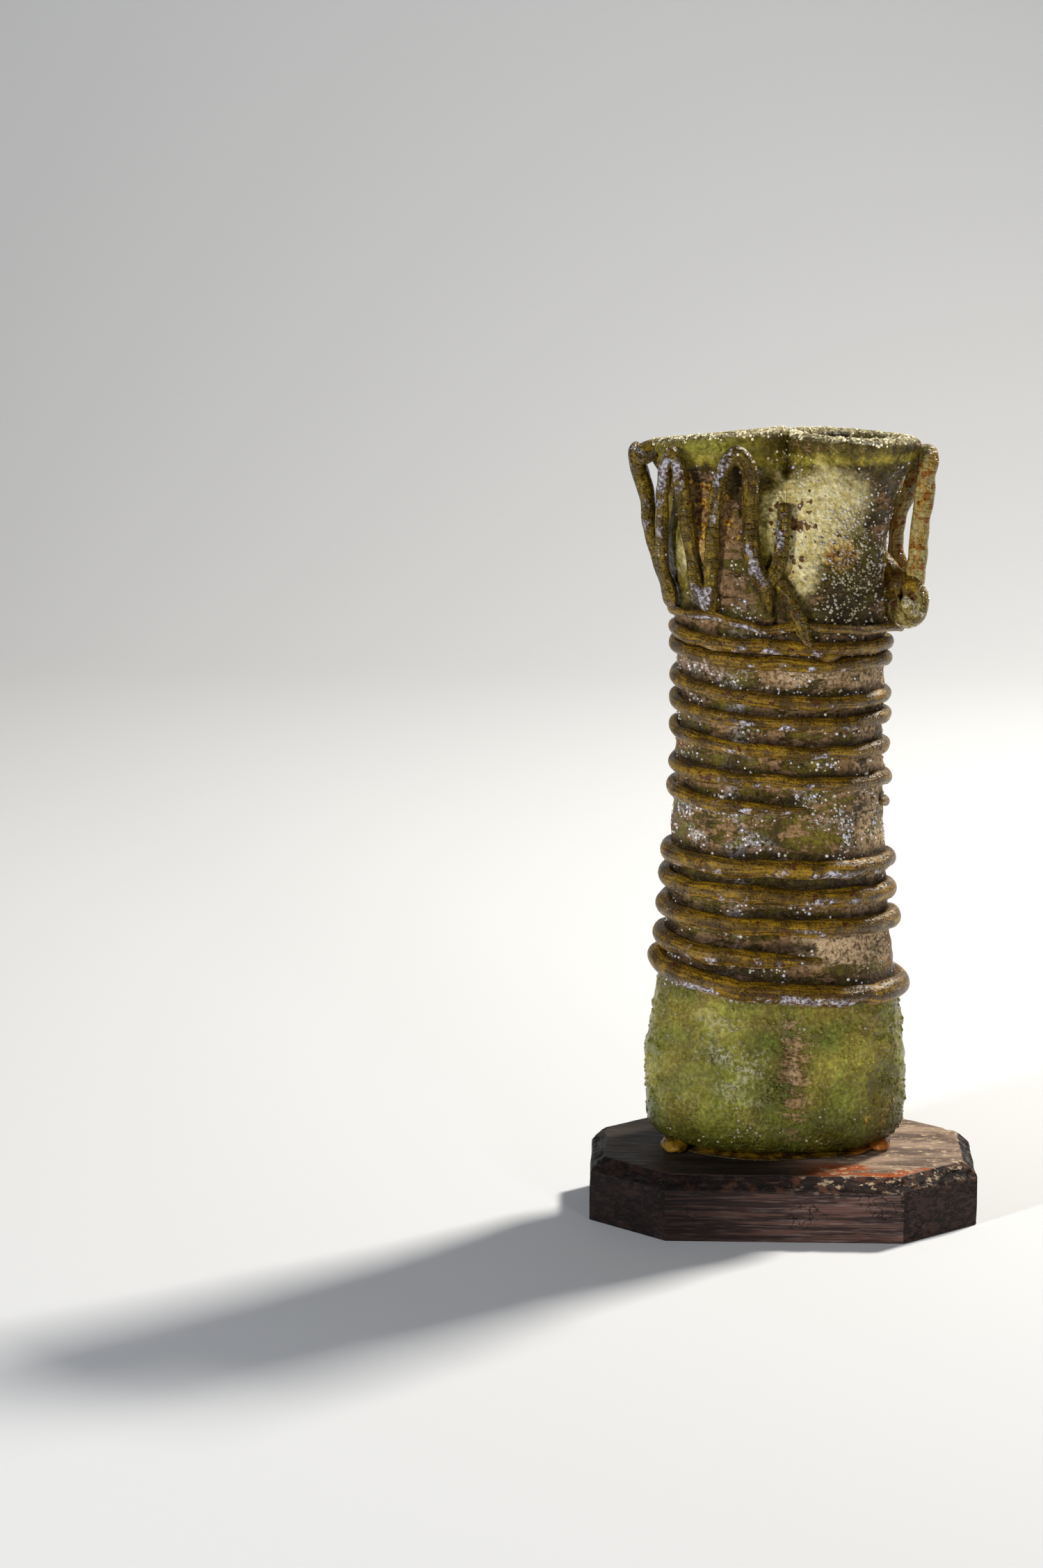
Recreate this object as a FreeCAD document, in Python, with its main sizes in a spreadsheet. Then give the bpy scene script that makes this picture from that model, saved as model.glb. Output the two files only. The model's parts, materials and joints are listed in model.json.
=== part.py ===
import FreeCAD, Part
import Sketcher
import math
import os

# A double kohl tube of blown glass, pinched into two bores, on a wooden stand with cut corners.
# Millimetres. The origin is the middle of the stand's underside, +Z is up, +X is to the right
# seen from the front, and the front looks along -Y. Angles in plan are degrees from +X through +Y.

Vector = FreeCAD.Vector

NAMED_SIZES = {
    # Wooden stand: a flat block with its four corners cut off and its top edge bevelled.
    "stand_width": 63.0,
    "stand_depth": 40.0,
    "stand_height": 10.6,
    "stand_corner_across": 12.4,
    "stand_corner_along": 10.6,
    "stand_bevel": 2.3,
    # Where the vessel's own axis stands on it, from the middle of the stand.
    "vessel_offset_right": -1.2,
    "vessel_offset_back": 2.0,
    # Foot pad: the low oval of amber glass that the bulb sits in, with a thick lump at each end.
    "foot_width": 37.4,
    "foot_depth": 24.6,
    "foot_height": 1.2,
    "foot_lump_width": 4.0,
    "foot_lump_depth": 8.0,
    "foot_lump_rise": 3.2,
    # Glass of the double tube.
    "glass_wall": 1.8,
    "glass_septum": 1.6,
    "glass_floor": 2.6,
    "mouth_overrun": 4.0,
    # Outside of the double tube: height above the stand, overall width and overall depth.
    "seat_width": 33.5,
    "seat_depth": 16.0,
    "heel_height": 2.9,
    "heel_width": 39.4,
    "heel_depth": 22.8,
    "bulb_base_height": 5.6,
    "bulb_base_width": 42.0,
    "bulb_base_depth": 27.2,
    "bulb_height": 10.6,
    "bulb_width": 43.2,
    "bulb_depth": 29.6,
    "bulb_top_height": 17.5,
    "bulb_top_width": 42.2,
    "bulb_top_depth": 29.6,
    "slope_height": 26.0,
    "slope_width": 39.9,
    "slope_depth": 28.6,
    "stem_height": 35.0,
    "stem_width": 37.2,
    "stem_depth": 27.6,
    "lower_tube_height": 46.0,
    "lower_tube_width": 35.4,
    "lower_tube_depth": 26.8,
    "middle_tube_height": 63.0,
    "middle_tube_width": 33.8,
    "middle_tube_depth": 26.2,
    "upper_tube_height": 79.0,
    "upper_tube_width": 33.4,
    "upper_tube_depth": 26.6,
    "shoulder_height": 89.0,
    "shoulder_width": 34.2,
    "shoulder_depth": 27.2,
    "waist_height": 98.0,
    "waist_width": 33.9,
    "waist_depth": 25.2,
    "funnel_height": 104.5,
    "funnel_width": 35.0,
    "funnel_depth": 22.6,
    "flare_height": 109.0,
    "flare_width": 37.4,
    "flare_depth": 20.6,
    "lip_underside_height": 112.4,
    "lip_underside_width": 41.8,
    "lip_underside_depth": 18.8,
    "lip_width": 43.7,
    "lip_depth": 18.8,
    # Rolled lips: a round bead on the end of each wall, in a plane that leans.
    "lip_bead": 2.9,
    "lip_height": 115.4,
    "left_lip_rise_inward": 1.1,
    "left_lip_rise_front": 1.1,
    "right_lip_rise_inward": 0.6,
    "right_lip_rise_front": 0.2,
    # Spiral trails: threads of glass wound on hot, each one unbroken tube.
    "upper_trail_bead": 2.2,
    "upper_trail_proud": 1.25,
    "upper_trail_start_height": 86.4,
    "upper_trail_pitch": 4.6,
    "lower_trail_bead": 2.8,
    "lower_trail_proud": 1.7,
    "lower_trail_start_height": 50.0,
    "lower_trail_pitch": 4.8,
    "base_trail_bead": 3.3,
    "base_trail_proud": 2.0,
    "base_trail_height": 29.1,
    "base_trail_tilt": 2.1,
    "collar_bead": 1.5,
    "collar_proud": 1.3,
    "collar_height": 87.2,
    "collar_tilt": 1.4,
    # Zigzag trails: threads drawn up and down between the shoulder and the lips.
    "left_zigzag_bead": 2.2,
    "right_zigzag_bead": 2.6,
    "zigzag_top_bend": 3.7,
    "zigzag_foot_bend": 3.4,
    "zigzag_top_clear": 1.6,
    "zigzag_foot_clear": 0.7,
    "zigzag_end_clear": 2.4,
    "zigzag_top_height": 114.9,
    "zigzag_foot_height": 91.2,
    "zigzag_front_foot_height": 95.6,
    "zigzag_right_foot_height": 94.5,
    "zigzag_stub_height": 106.6,
    "zigzag_end_reach": 20.6,
    # Knob: the folded blob of glass under the right zigzag.
    "knob_width": 6.8,
    "knob_depth": 6.4,
    "knob_rise": 5.2,
    "knob_reach": 19.6,
    "knob_height": 88.8,
    # Front tail: the end of the thread drawn down from the left zigzag to the collar.
    "tail_bead": 2.0,
    "tail_clear": -0.3,
    "tail_top_height": 95.4,
    "tail_foot_height": 88.0,
    "tail_start": 0.8,
    "tail_drift": 2.0,
}

document = FreeCAD.newDocument("double_unguentarium")
sheet = document.addObject("Spreadsheet::Sheet", "sizes")
for row, (alias, value) in enumerate(NAMED_SIZES.items(), start=1):
    sheet.set(f"A{row}", alias)
    sheet.set(f"B{row}", str(value))
    sheet.setAlias(f"B{row}", alias)
document.recompute()


def size(alias):
    """A driving dimension, read from the sheet."""
    return float(sheet.get(alias))


def bind(thing, bindings):
    """Tie properties of a document object to cells of the sheet."""
    for target, expression in bindings.items():
        thing.setExpression(target, expression)


# The glass is modelled about the vessel's own axis, with heights from the top of the stand.
AXIS = Vector(size("vessel_offset_right"), size("vessel_offset_back"), size("stand_height"))
GLASS_PLACE = FreeCAD.Placement(AXIS, FreeCAD.Rotation())
UP = Vector(0, 0, 1)


def feature(name, shape):
    """A document object that holds a shape of the glass, at the vessel's place."""
    thing = document.addObject("Part::Feature", name)
    thing.Shape = shape
    thing.Placement = GLASS_PLACE
    return thing


def boolean(kind, name, base, tool):
    """A Cut or Fuse of two document objects."""
    thing = document.addObject(f"Part::{kind}", name)
    thing.Base = base
    thing.Tool = tool
    return thing


def cut_by_all(name, base, tools):
    """What is left of a piece where the pieces that it was laid on take their room."""
    for index, tool in enumerate(tools, start=1):
        last = index == len(tools)
        base = boolean("Cut", name if last else f"{name}_less_{index}", base, tool)
    return base


# Stand. The plan is a rectangle without its corners, drawn as eight lines whose ends are held
# by distances from the middle. It is padded up, and the edges of its top face are bevelled.
stand = document.addObject("PartDesign::Body", "wooden_stand")
plan = stand.newObject("Sketcher::SketchObject", "stand_plan")
ground = next(part for part in stand.Origin.OriginFeatures if part.Role == "XY_Plane")
plan.AttachmentSupport = (ground, "")
plan.MapMode = "FlatFace"

START_POINT = 1
END_POINT = 2
MIDDLE = (-1, 1)
FAR_X = "sizes.stand_width / 2"
NEAR_X = "sizes.stand_width / 2 - sizes.stand_corner_across"
FAR_Y = "sizes.stand_depth / 2"
NEAR_Y = "sizes.stand_depth / 2 - sizes.stand_corner_along"
far_x = size("stand_width") / 2
near_x = far_x - size("stand_corner_across")
far_y = size("stand_depth") / 2
near_y = far_y - size("stand_corner_along")
STAND_CORNERS = [
    (far_x, near_y, FAR_X, NEAR_Y),
    (near_x, far_y, NEAR_X, FAR_Y),
    (-near_x, far_y, NEAR_X, FAR_Y),
    (-far_x, near_y, FAR_X, NEAR_Y),
    (-far_x, -near_y, FAR_X, NEAR_Y),
    (-near_x, -far_y, NEAR_X, FAR_Y),
    (near_x, -far_y, NEAR_X, FAR_Y),
    (far_x, -near_y, FAR_X, NEAR_Y),
]
corner_count = len(STAND_CORNERS)
for index in range(corner_count):
    here = STAND_CORNERS[index]
    following = STAND_CORNERS[(index + 1) % corner_count]
    plan.addGeometry(Part.LineSegment(Vector(*here[:2]), Vector(*following[:2])), False)
for index in range(corner_count):
    following = (index + 1) % corner_count
    plan.addConstraint(Sketcher.Constraint("Coincident", index, END_POINT, following, START_POINT))


def hold(kind, index, place, expression):
    """Hold one coordinate of a corner at its distance from the middle of the sketch."""
    corner = (index, START_POINT)
    ends = MIDDLE + corner if place > 0 else corner + MIDDLE
    number = plan.addConstraint(Sketcher.Constraint(kind, *ends, abs(place)))
    plan.setExpression(f"Constraints[{number}]", expression)


for index, (corner_x, corner_y, across, along) in enumerate(STAND_CORNERS):
    hold("DistanceX", index, corner_x, across)
    hold("DistanceY", index, corner_y, along)

block = stand.newObject("PartDesign::Pad", "stand_block")
block.Profile = plan
bind(block, {"Length": "sizes.stand_height"})
document.recompute()
top_face = max(range(len(block.Shape.Faces)), key=lambda i: block.Shape.Faces[i].CenterOfMass.z)
bevel = stand.newObject("PartDesign::Chamfer", "stand_bevel_cut")
bevel.Base = (block, [f"Face{top_face + 1}"])
bind(bevel, {"Size": "sizes.stand_bevel"})
stand.Tip = bevel


# Outside of the double tube. Each level is one closed curve: an oval that is pinched towards
# two lobes. The pinch share is 0 for a plain oval and 1 for two separate ovals side by side.
# The shift share moves the crease off the middle, as a share of the half width.
LEVELS = ["seat", "heel", "bulb_base", "bulb", "bulb_top", "slope", "stem", "lower_tube",
          "middle_tube", "upper_tube", "shoulder", "waist", "funnel", "flare", "lip_underside", "lip"]
PINCH_SHARES = [0.05, 0.05, 0.07, 0.09, 0.10, 0.10, 0.09, 0.09,
                0.09, 0.09, 0.09, 0.13, 0.24, 0.46, 0.70, 0.86]
SHIFT_SHARES = [0.08, 0.08, 0.09, 0.09, 0.09, 0.07, 0.03, -0.05,
                -0.12, -0.14, -0.10, -0.05, 0.00, 0.01, 0.02, 0.02]
LOBE_STEPS = 8


def level_height(name):
    """Height of a level; the seat lies on the foot pad."""
    return size("foot_height") if name == "seat" else size(f"{name}_height")


class Level:
    """The outer oval of the tube at one height."""

    def __init__(self, name, pinch, shift):
        self.height = level_height(name)
        self.half_width = size(f"{name}_width") / 2
        self.half_depth = size(f"{name}_depth") / 2
        self.pinch = pinch
        self.crease = shift * self.half_width

    def lobe(self, side):
        """Middle and half width of the left (-1) or right (+1) lobe."""
        end = side * self.half_width
        return (end + self.crease) / 2, abs(end - self.crease) / 2

    def outline(self, side, angle):
        """A point of a lobe: the oval's own depth, blended with the lobe's by the pinch."""
        middle, half = self.lobe(side)
        x = middle + side * half * math.cos(angle)
        oval = math.sqrt(max(0.0, 1 - (x / self.half_width) ** 2))
        lobe = abs(math.sin(angle)) ** (2 - self.pinch)
        depth = self.half_depth * ((1 - self.pinch) * oval + self.pinch * lobe)
        return x, math.copysign(depth, math.sin(angle))

    def points(self, height):
        """Points of the outline at a height, from the right end through the back and round."""
        step = math.pi / LOBE_STEPS
        right_back = [self.outline(1, step * i) for i in range(LOBE_STEPS)]
        left_back = [self.outline(-1, step * i) for i in range(LOBE_STEPS, 0, -1)]
        back = right_back + left_back
        left_end = [(-self.half_width, 0.0)]
        front = [(x, -y) for x, y in reversed(back[1:])]
        return [Vector(x, y, height) for x, y in back + left_end + front]


def closed_curve(points):
    """A smooth closed wire through points, in a back half and a front half."""
    curve = Part.BSplineCurve()
    count = len(points)
    curve.interpolate(Points=points, PeriodicFlag=True, Parameters=list(range(count + 1)))
    return Part.Wire([curve.toShape(0, count / 2), curve.toShape(count / 2, count)])


def loft(name, wires):
    """A solid through closed wires, from the lowest to the highest."""
    sections = [feature(f"{name}_level_{number}", wire) for number, wire in enumerate(wires, start=1)]
    thing = document.addObject("Part::Loft", name)
    thing.Sections = sections
    thing.Solid = True
    return thing


levels = [Level(*row) for row in zip(LEVELS, PINCH_SHARES, SHIFT_SHARES)]
mouth_top = size("lip_height") + size("mouth_overrun")
outer_wires = [closed_curve(level.points(level.height)) for level in levels]
outer_wires.append(closed_curve(levels[-1].points(mouth_top)))
blown_outside = loft("blown_outside", outer_wires)


# Bores. Each is a plain oval at every level, a wall inside the outside and half a septum from
# the crease. The lowest two ovals round the bottom of the bore, as shares of the next one up.
BORE_STEPS = 16
BORE_BOTTOM_SHARES = [(0.55, 0.0), (0.86, 0.35)]
FIRST_BORE_LEVEL = 3


def bore_oval(level, side):
    """Middle, half width and half depth of a bore at a level."""
    outer_end = side * (level.half_width - size("glass_wall"))
    inner_end = level.crease + side * size("glass_septum") / 2
    middle = (outer_end + inner_end) / 2
    lobe_middle, lobe_half = level.lobe(side)
    cosine = (middle - lobe_middle) / (side * lobe_half)
    depth = level.outline(side, math.acos(cosine))[1]
    return middle, abs(outer_end - inner_end) / 2, depth - size("glass_wall")


def bore_wire(middle, half_width, half_depth, height):
    """An oval about its own middle."""
    turns = [2 * math.pi * i / BORE_STEPS for i in range(BORE_STEPS)]
    return closed_curve([
        Vector(middle + half_width * math.cos(turn), half_depth * math.sin(turn), height)
        for turn in turns
    ])


def bore(name, side):
    """The inside of one tube, from above its floor to past the mouth."""
    first = levels[FIRST_BORE_LEVEL]
    middle, half_width, half_depth = bore_oval(first, side)
    floor = size("foot_height") + size("glass_floor")
    wires = [
        bore_wire(middle, share * half_width, share * half_depth,
                  floor + rise_share * (first.height - floor))
        for share, rise_share in BORE_BOTTOM_SHARES
    ]
    for level in levels[FIRST_BORE_LEVEL:]:
        wires.append(bore_wire(*bore_oval(level, side), level.height))
    wires.append(bore_wire(*bore_oval(levels[-1], side), mouth_top))
    return loft(name, wires)


left_bore = bore("left_bore", -1)
right_bore = bore("right_bore", 1)


# Paths for the threads. A turn is drawn as biarcs, two arcs that share a tangent where they
# meet, between points where the direction of the thread is known.
def arc(start, way, end):
    """The arc from start to end that leaves start along way."""
    chord = end - start
    bisector = way + Vector(chord).normalize()
    middle = start + bisector * (chord.Length / bisector.Length ** 2)
    return Part.Arc(start, middle, end).toShape()


def biarc(start, start_way, end, end_way):
    """Two arcs that join two points along their given directions."""
    chord = end - start
    both_ways = start_way + end_way
    spread = 2 * (1 - start_way.dot(end_way))
    along = chord.dot(both_ways)
    reach = (math.sqrt(along ** 2 + spread * chord.Length ** 2) - along) / spread
    joint = (start + end + (start_way - end_way) * reach) * 0.5
    first_chord = (joint - start).normalize()
    joint_way = first_chord * (2 * start_way.dot(first_chord)) - start_way
    return [arc(start, start_way, joint), arc(joint, joint_way, end)]


def biarc_path(points, ways):
    """A wire of biarcs through points with directions."""
    edges = []
    for index in range(len(points) - 1):
        edges += biarc(points[index], ways[index], points[index + 1], ways[index + 1])
    return Part.Wire(edges)


def path_start(path_wire):
    """Where a path starts and the direction it leaves in."""
    first_edge = path_wire.OrderedEdges[0]
    return path_wire.OrderedVertexes[0].Point, first_edge.tangentAt(first_edge.getParameterByLength(0))


def swept(name, section_wire, path_wire):
    """A section that is square to the start of a path, swept along it."""
    section = feature(f"{name}_section", section_wire)
    path = feature(f"{name}_path", path_wire)
    sweep = document.addObject("Part::Sweep", name)
    sweep.Sections = [section]
    sweep.Spine = path
    sweep.Solid = True
    return sweep


# A thread's section is an even polygon with its corners on the bead's circle.
THREAD_SIDES = 8


def thread(name, path_wire, bead):
    """A thread of glass along a path."""
    start, way = path_start(path_wire)
    square_on = FreeCAD.Rotation(UP, way)
    corners = []
    for side in range(THREAD_SIDES + 1):
        turn = 2 * math.pi * (side % THREAD_SIDES) / THREAD_SIDES
        corner = Vector(math.cos(turn), math.sin(turn), 0) * (bead / 2)
        corners.append(start + square_on.multVec(corner))
    return swept(name, Part.makePolygon(corners), path_wire)


# Lips. Each bead follows the middle of its wall in a plane that leans, and the wall above the
# plane is trimmed off first.
LIP_QUARTERS = 4


class Lip:
    """The leaning oval of one mouth."""

    def __init__(self, word, side):
        level = levels[-1]
        self.side = side
        self.middle, self.half_width = level.lobe(side)
        self.half_depth = level.half_depth
        self.inward = -side * size(f"{word}_lip_rise_inward") / self.half_width
        self.front = size(f"{word}_lip_rise_front") / self.half_depth

    def height(self, x, y):
        """Height of the leaning plane over a point of the plan."""
        return size("lip_height") + self.inward * (x - self.middle) - self.front * y

    def point(self, angle, clear):
        """A point clear of the wall's outside, at an angle of the mouth's oval in degrees."""
        turn = math.radians(angle)
        x = self.middle + (self.half_width + clear) * math.cos(turn)
        y = (self.half_depth + clear) * math.sin(turn)
        return Vector(x, y, self.height(x, y))

    def way(self, angle, clear):
        """The direction of the oval at an angle, seen from above against the clock."""
        turn = math.radians(angle)
        x = -(self.half_width + clear) * math.sin(turn)
        y = (self.half_depth + clear) * math.cos(turn)
        return Vector(x, y, self.inward * x - self.front * y).normalize()


def lip_bead(name, lip):
    """The rolled bead of one mouth, a closed ring with a round section."""
    clear = -size("glass_wall") / 2
    angles = [360 * i / LIP_QUARTERS for i in range(LIP_QUARTERS + 1)]
    points = [lip.point(angle, clear) for angle in angles]
    points[-1] = points[0]
    path_wire = biarc_path(points, [lip.way(angle, clear) for angle in angles])
    return swept(name, Part.Wire(Part.makeCircle(size("lip_bead") / 2, *path_start(path_wire))), path_wire)


def trimmer(name, lip, past_crease):
    """A block above a lip's plane, from just past the crease to beyond the wall and the loft."""
    block = document.addObject("Part::Box", name)
    bind(block, {
        "Length": "sizes.lip_width / 2 + sizes.mouth_overrun",
        "Width": "sizes.lip_depth + 2 * sizes.mouth_overrun",
        "Height": "2 * sizes.mouth_overrun",
    })
    length = levels[-1].half_width + size("mouth_overrun")
    inner_end = -lip.side * (lip.half_width + past_crease)
    first_corner = Vector(min(inner_end, inner_end + lip.side * length),
                          -lip.half_depth - size("mouth_overrun"), 0)
    lean = FreeCAD.Rotation(UP, Vector(-lip.inward, lip.front, 1))
    on_plane = FreeCAD.Placement(Vector(lip.middle, 0, size("lip_height")), lean)
    block.Placement = GLASS_PLACE * on_plane * FreeCAD.Placement(first_corner, FreeCAD.Rotation())
    return block


left_lip = Lip("left", -1)
right_lip = Lip("right", 1)
trimmed = cut_by_all("trimmed_outside", blown_outside,
                     [trimmer("left_trim", left_lip, size("glass_wall")), trimmer("right_trim", right_lip, 0)])
open_tubes = cut_by_all("open_tubes", trimmed, [left_bore, right_bore])
with_left_lip = boolean("Fuse", "tubes_with_left_lip", open_tubes, lip_bead("left_lip_bead", left_lip))
double_tube = boolean("Fuse", "double_tube_body", with_left_lip, lip_bead("right_lip_bead", right_lip))


# Foot pad: an oval plate under the bulb with a thick lump at each end, and the bulb sunk in it.
foot_plan = document.addObject("Part::Ellipse", "foot_plan")
foot_plan.Placement = GLASS_PLACE
bind(foot_plan, {"MajorRadius": "sizes.foot_width / 2", "MinorRadius": "sizes.foot_depth / 2"})
foot_plate = document.addObject("Part::Extrusion", "foot_plate")
foot_plate.Base = foot_plan
foot_plate.Dir = UP
foot_plate.Solid = True
bind(foot_plate, {"LengthFwd": "sizes.foot_height"})


def foot_lump(name, side):
    """The thick end of the foot pad, a half sunk drop."""
    lump = document.addObject("Part::Ellipsoid", name)
    bind(lump, {
        "Radius1": "sizes.foot_lump_rise / 2",
        "Radius2": "sizes.foot_lump_width / 2",
        "Radius3": "sizes.foot_lump_depth / 2",
    })
    reach = (size("foot_width") - size("foot_lump_width")) / 2
    middle = AXIS + Vector(side * reach, 0, size("foot_lump_rise") / 2)
    lump.Placement = FreeCAD.Placement(middle, FreeCAD.Rotation())
    return lump


whole_foot = document.addObject("Part::MultiFuse", "whole_foot")
whole_foot.Shapes = [foot_plate, foot_lump("left_foot_lump", -1), foot_lump("right_foot_lump", 1)]
foot_pad = cut_by_all("foot_pad", whole_foot, [trimmed])


# The tube's half width and half depth at any height, as one curve through the levels.
profile = Part.BSplineCurve()
profile.interpolate(Points=[Vector(level.half_width, level.half_depth, level.height) for level in levels],
                    Parameters=[level.height for level in levels])


def beside_tube(angle, height, clear):
    """A point clear of the tube's outside at an angle in degrees and a height."""
    at_height = profile.value(height)
    turn = math.radians(angle)
    return Vector((at_height.x + clear) * math.cos(turn), (at_height.y + clear) * math.sin(turn), height)


def winding_way(angle, height, clear, rise):
    """Direction of a winding: along the oval, with the rise per radian of plan angle."""
    at_height = profile.value(height)
    turn = math.radians(angle)
    across = -(at_height.x + clear) * math.sin(turn)
    along = (at_height.y + clear) * math.cos(turn)
    return Vector(across, along, rise).normalize()


# A wound thread must not touch itself. Its gap is measured between points along its middle that
# are further apart along the thread than the near length, in beads.
GAP_STEPS_A_BEAD = 4
NEAR_BEADS = 3


def print_own_gap(name, path_wire, bead):
    """Print the least gap between a thread and itself."""
    points = path_wire.discretize(Number=round(GAP_STEPS_A_BEAD * path_wire.Length / bead))
    near = NEAR_BEADS * GAP_STEPS_A_BEAD
    least = min(
        point.distanceToPoint(other)
        for index, point in enumerate(points)
        for other in points[index + near:]
    )
    print(f"{name}: least gap to itself {least - bead:.2f} mm")


# Spiral trails. A winding has a point every quarter turn, at its sides, front and back. Its
# height falls by a share of the pitch from its start to its first side, then on each half turn
# from side to side, and from its last side to its end, because the turns lie unevenly.
QUARTER = 90
HALF_TURN = 180


def winding(name, words, start_angle, end_angle, drop_shares):
    """A thread wound down the tube against the clock as seen from above."""
    bead = size(f"{words}_bead")
    clear = size(f"{words}_proud") - bead / 2
    first_side = math.ceil(start_angle / HALF_TURN) * HALF_TURN
    side_count = len(drop_shares) - 1
    places = [start_angle] + [first_side + HALF_TURN * i for i in range(side_count)] + [end_angle]
    heights = [size(f"{words}_start_height")]
    for share in drop_shares:
        heights.append(heights[-1] - share * size(f"{words}_pitch"))
    angles = []
    falls = []
    for index in range(1, side_count):
        middle = (places[index] + places[index + 1]) / 2
        angles += [places[index], middle]
        falls += [heights[index], (heights[index] + heights[index + 1]) / 2]
    angles = [start_angle] + angles + places[-2:]
    falls = heights[:1] + falls + heights[-2:]
    points = [beside_tube(angle, height, clear) for angle, height in zip(angles, falls)]
    ways = []
    last = len(angles) - 1
    for index, angle in enumerate(angles):
        before = max(index - 1, 0)
        after = min(index + 1, last)
        rise = (falls[after] - falls[before]) / math.radians(angles[after] - angles[before])
        ways.append(winding_way(angle, falls[index], clear, rise))
    path_wire = biarc_path(points, ways)
    print_own_gap(name, path_wire, bead)
    return thread(name, path_wire, bead)


def ring(name, words):
    """A closed ring round the tube that leans down to the right."""
    bead = size(f"{words}_bead")
    clear = size(f"{words}_proud") - bead / 2
    tilt = size(f"{words}_tilt")
    points = []
    ways = []
    for angle in range(0, 2 * HALF_TURN + 1, QUARTER):
        turn = math.radians(angle)
        height = size(f"{words}_height") - tilt * math.cos(turn)
        points.append(beside_tube(angle, height, clear))
        ways.append(winding_way(angle, height, clear, tilt * math.sin(turn)))
    points[-1] = points[0]
    return thread(name, biarc_path(points, ways), bead)


UPPER_START_ANGLE = 150
UPPER_END_ANGLE = 2430
UPPER_DROP_SHARES = [0.07, 0.46, 0.13, 0.46, 0.61, 0.67, 0.22, 0.50, 0.48, 0.59, 0.67, 0.50, 0.39, 0.28]
LOWER_START_ANGLE = 103
LOWER_END_ANGLE = 1350
LOWER_DROP_SHARES = [0.19, 0.25, 0.63, 0.40, 0.63, 0.35, 0.65, 0.29]

upper_tube = winding("upper_trail_tube", "upper_trail", UPPER_START_ANGLE, UPPER_END_ANGLE, UPPER_DROP_SHARES)
upper_trail = cut_by_all("upper_spiral_trail", upper_tube, [trimmed])
lower_tube = winding("lower_trail_tube", "lower_trail", LOWER_START_ANGLE, LOWER_END_ANGLE, LOWER_DROP_SHARES)
lower_trail = cut_by_all("lower_spiral_trail", lower_tube, [trimmed])
base_trail = cut_by_all("base_ring_trail", ring("base_trail_tube", "base_trail"), [trimmed])
collar = cut_by_all("collar_thread", ring("collar_tube", "collar"), [trimmed])


# Zigzag trails: straight runs between the lips and the shoulder, with a rounded bend at each
# end that is two corners a bend's width apart.
BEND_RADIUS_SHARE = 0.43


def rounded_path(points, radii):
    """A wire of straight runs joined by tangent arcs, one radius for each inner point."""
    edges = []
    last = points[0]
    for index, radius in enumerate(radii, start=1):
        corner = points[index]
        back = (points[index - 1] - corner).normalize()
        ahead = (points[index + 1] - corner).normalize()
        reach = radius / math.tan(back.getAngle(ahead) / 2)
        arc_start = corner + back * reach
        arc_end = corner + ahead * reach
        edges.append(Part.LineSegment(last, arc_start).toShape())
        edges.append(arc(arc_start, -back, arc_end))
        last = arc_end
    edges.append(Part.LineSegment(last, points[-1]).toShape())
    return Part.Wire(edges)


def lip_bend(lip, angle, clear):
    """The two corners of a bend that hangs on the outside of a lip, clockwise in plan."""
    half_angle = math.degrees(size("zigzag_top_bend") / 2 / (lip.half_width + clear))
    corners = []
    for place in (angle + half_angle, angle - half_angle):
        corner = lip.point(place, clear)
        corner.z += size("zigzag_top_height") - size("lip_height")
        corners.append(corner)
    return corners


def foot_bend(angle, height, clear):
    """The two corners of a bend that lies on the shoulder, clockwise in plan."""
    at_height = profile.value(height)
    radius = math.hypot((at_height.x + clear) * math.sin(math.radians(angle)),
                        (at_height.y + clear) * math.cos(math.radians(angle)))
    half_angle = math.degrees(size("zigzag_foot_bend") / 2 / radius)
    return [beside_tube(place, height, clear) for place in (angle + half_angle, angle - half_angle)]


# Each row is a bend: where it lies, its plan angle, and its distance from the lip or its height.
LIP = "lip"
SHOULDER = "shoulder"
LEFT_START_ANGLE = 271
LEFT_BENDS = [
    (SHOULDER, 261.5, "zigzag_front_foot_height"),
    (LIP, 285, "zigzag_top_clear"),
    (SHOULDER, 229, "zigzag_foot_height"),
    (LIP, 235, "zigzag_top_clear"),
    (SHOULDER, 194, "zigzag_foot_height"),
    (LIP, 180, "zigzag_end_clear"),
]
LEFT_END_ANGLE = 168
RIGHT_START_ANGLE = 84
RIGHT_BENDS = [
    (LIP, 105, "zigzag_top_clear"),
    (SHOULDER, 49, "zigzag_foot_height"),
    (LIP, 55, "zigzag_top_clear"),
    (SHOULDER, 14, "zigzag_right_foot_height"),
    (LIP, 0, "zigzag_top_clear"),
]
foot_clear = size("zigzag_foot_clear")


def zigzag(name, words, lip, start, bends, end):
    """A thread from start through its bends to end."""
    bead = size(f"{words}_bead")
    points = [start]
    radii = []
    for where, angle, alias in bends:
        if where == LIP:
            points += lip_bend(lip, angle, size(alias))
            radius = BEND_RADIUS_SHARE * size("zigzag_top_bend")
        else:
            points += foot_bend(angle, size(alias), foot_clear)
            radius = BEND_RADIUS_SHARE * size("zigzag_foot_bend")
        radii += [radius, radius]
    path_wire = rounded_path(points + [end], radii)
    print_own_gap(name, path_wire, bead)
    return thread(name, path_wire, bead)


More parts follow.
